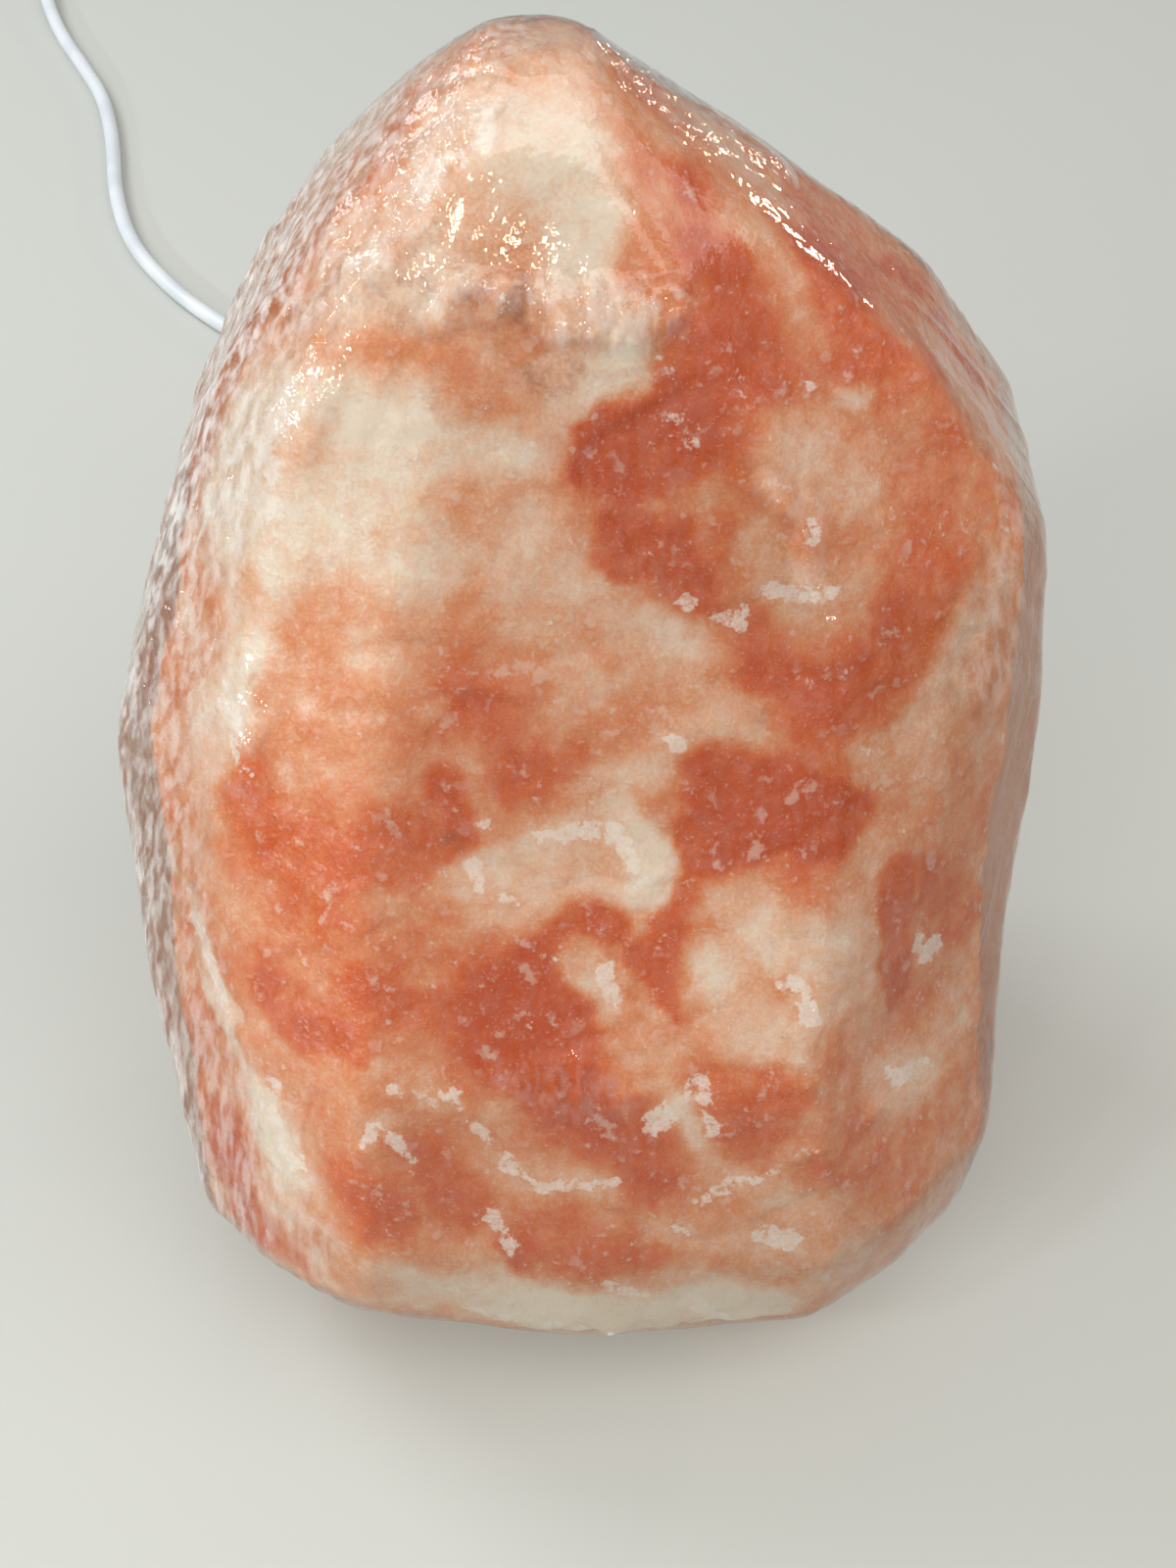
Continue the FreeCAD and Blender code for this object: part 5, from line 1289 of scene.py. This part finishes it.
@dataclass
class Crystal:
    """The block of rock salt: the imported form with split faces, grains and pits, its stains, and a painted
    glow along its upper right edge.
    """

    camera: Camera
    grain: float = 1.25 * MM
    foot: float = 22.0 * MM
    bore: float = 24.0 * MM
    bore_top: float = 162.0 * MM
    shown: bpy.types.Object | None = None

    def build(self) -> None:
        """Grow the salt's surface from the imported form, and shape it."""
        mesh = regrown(frame["nodes"]["salt_crystal"].data.copy(), self.grain)
        points, pairs = spots(mesh), ties(mesh)
        free = self.freedom(points)[:, None]
        for _ in range(12):
            points += (even_out(points, pairs) - points) * 0.6 * free
        move(mesh, points)
        free = free[:, 0]
        out = facing(mesh)
        slab, seam = chips(points + 0.3 * self.drift(points, 22 * MM), 26 * MM, 11)
        flake, crack = chips(points + 0.4 * self.drift(points, 8 * MM), 8 * MM, 47)
        height = 1.9 * slab + 1.1 * flake + 0.5 * fractal(points, 7 * MM, 3, 23)
        height -= 0.5 * (1.0 - smooth(0.0, 0.10, seam)) + 0.3 * (1.0 - smooth(0.0, 0.1, crack)) + 0.5
        points = points + out * (height * MM * free)[:, None]
        for _ in range(2):
            points += (even_out(points, pairs) - points) * 0.3 * free[:, None]
        points[:, 2] = np.maximum(points[:, 2], self.foot)
        move(mesh, points)
        shade_smooth(mesh)
        stain(mesh, "salt_mask", self.stains(mesh, points))
        self.shown = piece("rock_salt", mesh)

    def freedom(self, points: np.ndarray) -> np.ndarray:
        """Say how far each point may move: not at all on the sawn foot and in the bore.

        Args:
            points: The points, one row each.

        Returns:
            A share from 0 to 1 for each point.
        """
        beside = np.hypot(points[:, 0], points[:, 1]) - self.bore
        beside = np.where(points[:, 2] > self.bore_top, np.hypot(beside, points[:, 2] - self.bore_top),
                          beside)
        return smooth(0.5 * MM, 6 * MM, beside) * smooth(0.2 * MM, 5 * MM, points[:, 2] - self.foot)

    def drift(self, points: np.ndarray, size: float) -> np.ndarray:
        """Return a random push for each point, up to a size."""
        return np.stack([fractal(points, size, 2, 61 + k * 5) for k in range(3)], 1) * size

    def brushed(self, tree: BVHTree, bent: np.ndarray, stroke: Stroke) -> np.ndarray | None:
        """Work out how much of a stroke each point gets.

        Args:
            tree: The salt's surface.
            bent: The points, bent by a random drift.
            stroke: The stroke.

        Returns:
            Shares from 0 to 1, or None where the stroke misses the salt.
        """
        ends = []
        for across, down in ((stroke.across, stroke.down), (stroke.to_across, stroke.to_down)):
            hit = tree.ray_cast(self.camera.place, self.camera.sight(across, down))[0]
            if hit is None:
                return None
            ends.append(np.array(hit))
        along = ends[1] - ends[0]
        share = np.clip((bent - ends[0]) @ along / max(along @ along, 1e-12), 0.0, 1.0)
        distance = np.sqrt(((bent - ends[0] - share[:, None] * along) ** 2).sum(1))
        reach = max(stroke.reach, 1.8) * MM
        return 1.0 - smooth(reach * (1.0 - stroke.blur), reach * (1.0 + stroke.blur), distance)

    def stains(self, mesh: bpy.types.Mesh, points: np.ndarray) -> np.ndarray:
        """Work out how stained, crusted and rusty the salt is at each point, with a painted glow along its
        upper right edge.

        Args:
            mesh: The shaped salt.
            points: Its points.

        Returns:
            One row of four for each point.
        """
        tree = BVHTree.FromPolygons([Vector(p) for p in points], [tuple(f.vertices) for f in mesh.polygons])
        broad = fractal(points + self.drift(points, 16 * MM), 46 * MM, 3, 71)
        veined = 1.0 - np.abs(fractal(points + self.drift(points, 12 * MM), 40 * MM, 2, 91)) * 3.2
        away = smooth(-0.1, 0.45, facing(mesh) @ np.array([0.0, 0.66, -0.45]))
        stained = 0.48 + (0.20 + 0.55 * away) * broad
        crust = (0.25 + 0.3 * away) * smooth(0.7, 1.0, veined) * smooth(-0.1, 0.3, broad)
        rust = away * 0.5 * smooth(0.3, 0.7, fractal(points, 50 * MM, 2, 37))
        bent = points + self.drift(points, 13 * MM) * 0.45 + self.drift(points + 0.5, 4 * MM) * 0.5
        # The strokes include a painted glow along the upper right edge.
        for stroke in STAINS_AND_GLOW:
            share = self.brushed(tree, bent, stroke)
            if share is not None:
                stained = stained + (stroke.depth - stained) * share
        close = points + self.drift(points, 6 * MM) * 0.5
        for strokes, kind in ((CRUSTS, crust), (RUSTS, rust)):
            for stroke in strokes:
                share = self.brushed(tree, close, stroke)
                if share is not None:
                    np.maximum(kind, share * stroke.depth * 0.62, out=kind)
        return np.stack([stained, crust, rust, np.ones(len(points))], 1)

    def dress(self, finishes: Finishes) -> None:
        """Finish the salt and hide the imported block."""
        finishes.dress(self.shown, "salt", "lamp")
        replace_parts(self.shown, "salt_crystal")


CREASES = (
    # Short upright creases under the neck
    Stroke(440, 305, 500, 300, 4, 0.9), Stroke(500, 300, 560, 320, 4, 0.7),
    Stroke(560, 320, 665, 310, 4.5, 1.0),
    # Crumple down the upper left ridge
    Stroke(520, 40, 400, 190, 6, 0.9), Stroke(400, 190, 300, 330, 8, 0.8), Stroke(300, 330, 235, 500, 9, 0.6),
    # Loose side on the left, and the pulled lines on the right
    Stroke(220, 500, 165, 640, 8, 0.9), Stroke(165, 640, 160, 900, 8, 0.8),
    Stroke(160, 900, 200, 1100, 6, 0.5),
    Stroke(1035, 520, 1010, 700, 6, 0.6), Stroke(620, 60, 780, 160, 5, 0.6),
    Stroke(850, 220, 1040, 420, 5, 0.6),
    Stroke(800, 500, 840, 600, 4, 0.4), Stroke(240, 680, 250, 800, 4, 0.5),
    Stroke(520, 1100, 640, 1120, 5, 0.3),
)


@dataclass
class Film:
    """The clear film: a skin stretched over the salt, creased, and loose on its left."""

    crystal: Crystal
    grain: float = 2.8 * MM
    gap: float = 0.30 * MM
    centre: Vector = field(default_factory=lambda: Vector((0.0, 0.012, 0.10)))
    waist: float = 70.0 * MM
    shown: bpy.types.Object | None = None

    def outside(self) -> bpy.types.Mesh:
        """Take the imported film's outer side, closed under its foot.

        Returns:
            The mesh.
        """
        work = bmesh.new()
        work.from_mesh(frame["nodes"]["shrink_film"].data)
        bmesh.ops.remove_doubles(work, verts=work.verts, dist=1e-6)
        work.normal_update()
        floor = min(v.co.z for v in work.verts)
        inner = [f for f in work.faces
                 if f.normal.dot(f.calc_center_median() - self.centre) < 0.0
                 or (f.normal.z < -0.9 and f.calc_center_median().z < floor + 0.2 * MM)]
        bmesh.ops.delete(work, geom=inner, context="FACES")
        rim = [e for e in work.edges if e.is_boundary]
        bmesh.ops.edgeloop_fill(work, edges=rim)
        mesh = bpy.data.meshes.new("film_outside")
        work.to_mesh(mesh)
        work.free()
        return mesh

    def build(self) -> None:
        """Stretch the skin over the salt, subdivide it and crease it."""
        mesh = regrown(self.outside(), self.grain)
        self.open_foot(mesh)
        low, high = (np.array(corner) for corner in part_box("shrink_film"))
        start = spots(mesh)
        points, pairs = start.copy(), ties(mesh)
        tree = self.salt_tree()
        foot = (points[:, 2] < self.crystal.foot + 1.5 * MM)[:, None]
        for turn in range(8):
            pulled = points + (even_out(points, pairs) - points) * 0.6
            pulled = pulled + (start - pulled) * 0.12
            points = np.where(foot, points, pulled)
            if turn % 2:
                points = self.lifted(points, tree)
        move(mesh, points)
        shade_smooth(mesh)
        holder = piece("film_coarse", mesh)
        fine = modified(holder, "SUBSURF", levels=2)
        bpy.data.objects.remove(holder)
        creased, loose, fold_shade = self.creased(fine)
        milky = 0.02 + 0.28 * loose + 0.52 * smooth(0.50, 0.88, -facing(fine)[:, 0])
        move(fine, np.clip(creased, low + 0.05 * MM, high - 0.05 * MM))
        shade_smooth(fine)
        # The third channel carries the painted shade of the folds.
        stain(fine, "film_mask", np.stack([loose, milky, 0.6 * fold_shade, np.ones(len(loose))], 1))
        self.shown = piece("clear_film", fine)

    def open_foot(self, mesh: bpy.types.Mesh) -> None:
        """Take away the closing face under the foot.

        Args:
            mesh: The film's mesh.
        """
        work = bmesh.new()
        work.from_mesh(mesh)
        under = [f for f in work.faces if f.normal.z < -0.7
                 and f.calc_center_median().z < self.crystal.foot + 1.6 * MM]
        bmesh.ops.delete(work, geom=under, context="FACES")
        work.to_mesh(mesh)
        work.free()

    def salt_tree(self) -> BVHTree:
        """Return the salt's surface for distance tests."""
        mesh = self.crystal.shown.data
        return BVHTree.FromPolygons([v.co for v in mesh.vertices], [tuple(f.vertices) for f in mesh.polygons])

    def lifted(self, points: np.ndarray, tree: BVHTree) -> np.ndarray:
        """Keep the film outside the salt.

        Args:
            points: The film's points.
            tree: The salt's surface.

        Returns:
            The points, moved out where they were too deep.
        """
        kept = points.copy()
        for index, point in enumerate(points):
            spot, normal, _, _ = tree.find_nearest(Vector(point))
            if (Vector(point) - spot).dot(normal) < self.gap:
                kept[index] = spot + normal * self.gap
        return kept

    def creased(self, mesh: bpy.types.Mesh) -> tuple[np.ndarray, np.ndarray, np.ndarray]:
        """Crease the film: long pulled folds down its sides, and a crumple where it is loose.

        Args:
            mesh: The stretched film.

        Returns:
            The creased points, how loose the film is there, and how much painted shade darkens its folds.
        """
        points, out = spots(mesh), facing(mesh)
        tree = BVHTree.FromPolygons([Vector(p) for p in points], [tuple(f.vertices) for f in mesh.polygons])
        away = smooth(-0.1, 0.45, out @ np.array([0.0, 0.66, -0.45]))
        left = smooth(0.45, 0.85, -out[:, 0] + 0.15 * fractal(points, 30 * MM, 2, 15))
        right = smooth(0.55, 0.9, out[:, 0] + 0.15 * fractal(points, 30 * MM, 2, 19))
        patchy = smooth(-0.5, 0.4, fractal(points, 34 * MM, 3, 9))
        loose = 0.05 + np.maximum.reduce([0.6 * away * patchy, 0.85 * left * (0.4 + 0.6 * patchy),
                                          0.32 * right])
        bent = points + self.crystal.drift(points, 9 * MM) * 0.5
        for stroke in CREASES:
            share = self.crystal.brushed(tree, bent, stroke)
            if share is not None:
                loose = np.maximum(loose, share * stroke.depth)
        middle = points - np.array(self.centre)
        around = middle[:, :2] / np.maximum(np.hypot(middle[:, 0], middle[:, 1]), 1e-6)[:, None]
        upright = np.column_stack([around * self.waist, middle[:, 2] * 0.13])
        bowed = upright + 3.0 * MM * np.stack([fractal(points, 30 * MM, 2, 41 + k) for k in range(3)], 1)
        pleat = (1.0 - np.abs(cloud(bowed, 4.2 * MM, 3)) * 1.6).clip(0.0) ** 2
        fold = (1.0 - np.abs(cloud(bowed, 9.5 * MM, 31)) * 1.5).clip(0.0) ** 2
        crumple = (1.0 - np.abs(fractal(points * np.array([1, 1, 0.6]), 10 * MM, 3, 77)) * 1.5).clip(0.0) ** 2
        height = loose * (0.55 * pleat + 1.1 * fold + 0.75 * crumple - 0.5)
        # Painted shade along the folds, strong on the left side and faint on the right.
        fold_shade = smooth(0.5, 0.95, np.maximum(fold, 0.8 * pleat)) * np.maximum(left, 0.5 * right)
        return points + out * (np.maximum(height, -0.15) * MM)[:, None], loose, fold_shade * 0.7

    def dress(self, finishes: Finishes) -> None:
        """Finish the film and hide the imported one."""
        finishes.dress(self.shown, "film", "lamp")
        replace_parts(self.shown, "shrink_film")


def main() -> None:
    """Build the lamp, piece by piece."""
    camera = Camera()
    camera.build()
    flex = Flex()
    flex.build()
    Studio().build(Vector((0.0, 0.0, 0.11)))
    finishes = Finishes()
    record_slots = {part["node"]: part["material_slot"] for part in frame["record"]["subparts"]}
    for name, shown in frame["nodes"].items():
        finishes.dress(shown, record_slots[name])
    flex.dress(finishes)
    log.info("flex: three stretches")
    ScrewBulb().build(finishes)
    log.info("bulb and holder: threads and filament")
    crystal = Crystal(camera)
    crystal.build()
    crystal.dress(finishes)
    log.info("rock salt: %d points", len(crystal.shown.data.vertices))
    film = Film(crystal)
    film.build()
    film.dress(finishes)
    log.info("clear film: %d points", len(film.shown.data.vertices))


if __name__ == "__main__":
    logging.basicConfig(level=logging.INFO)
    main()
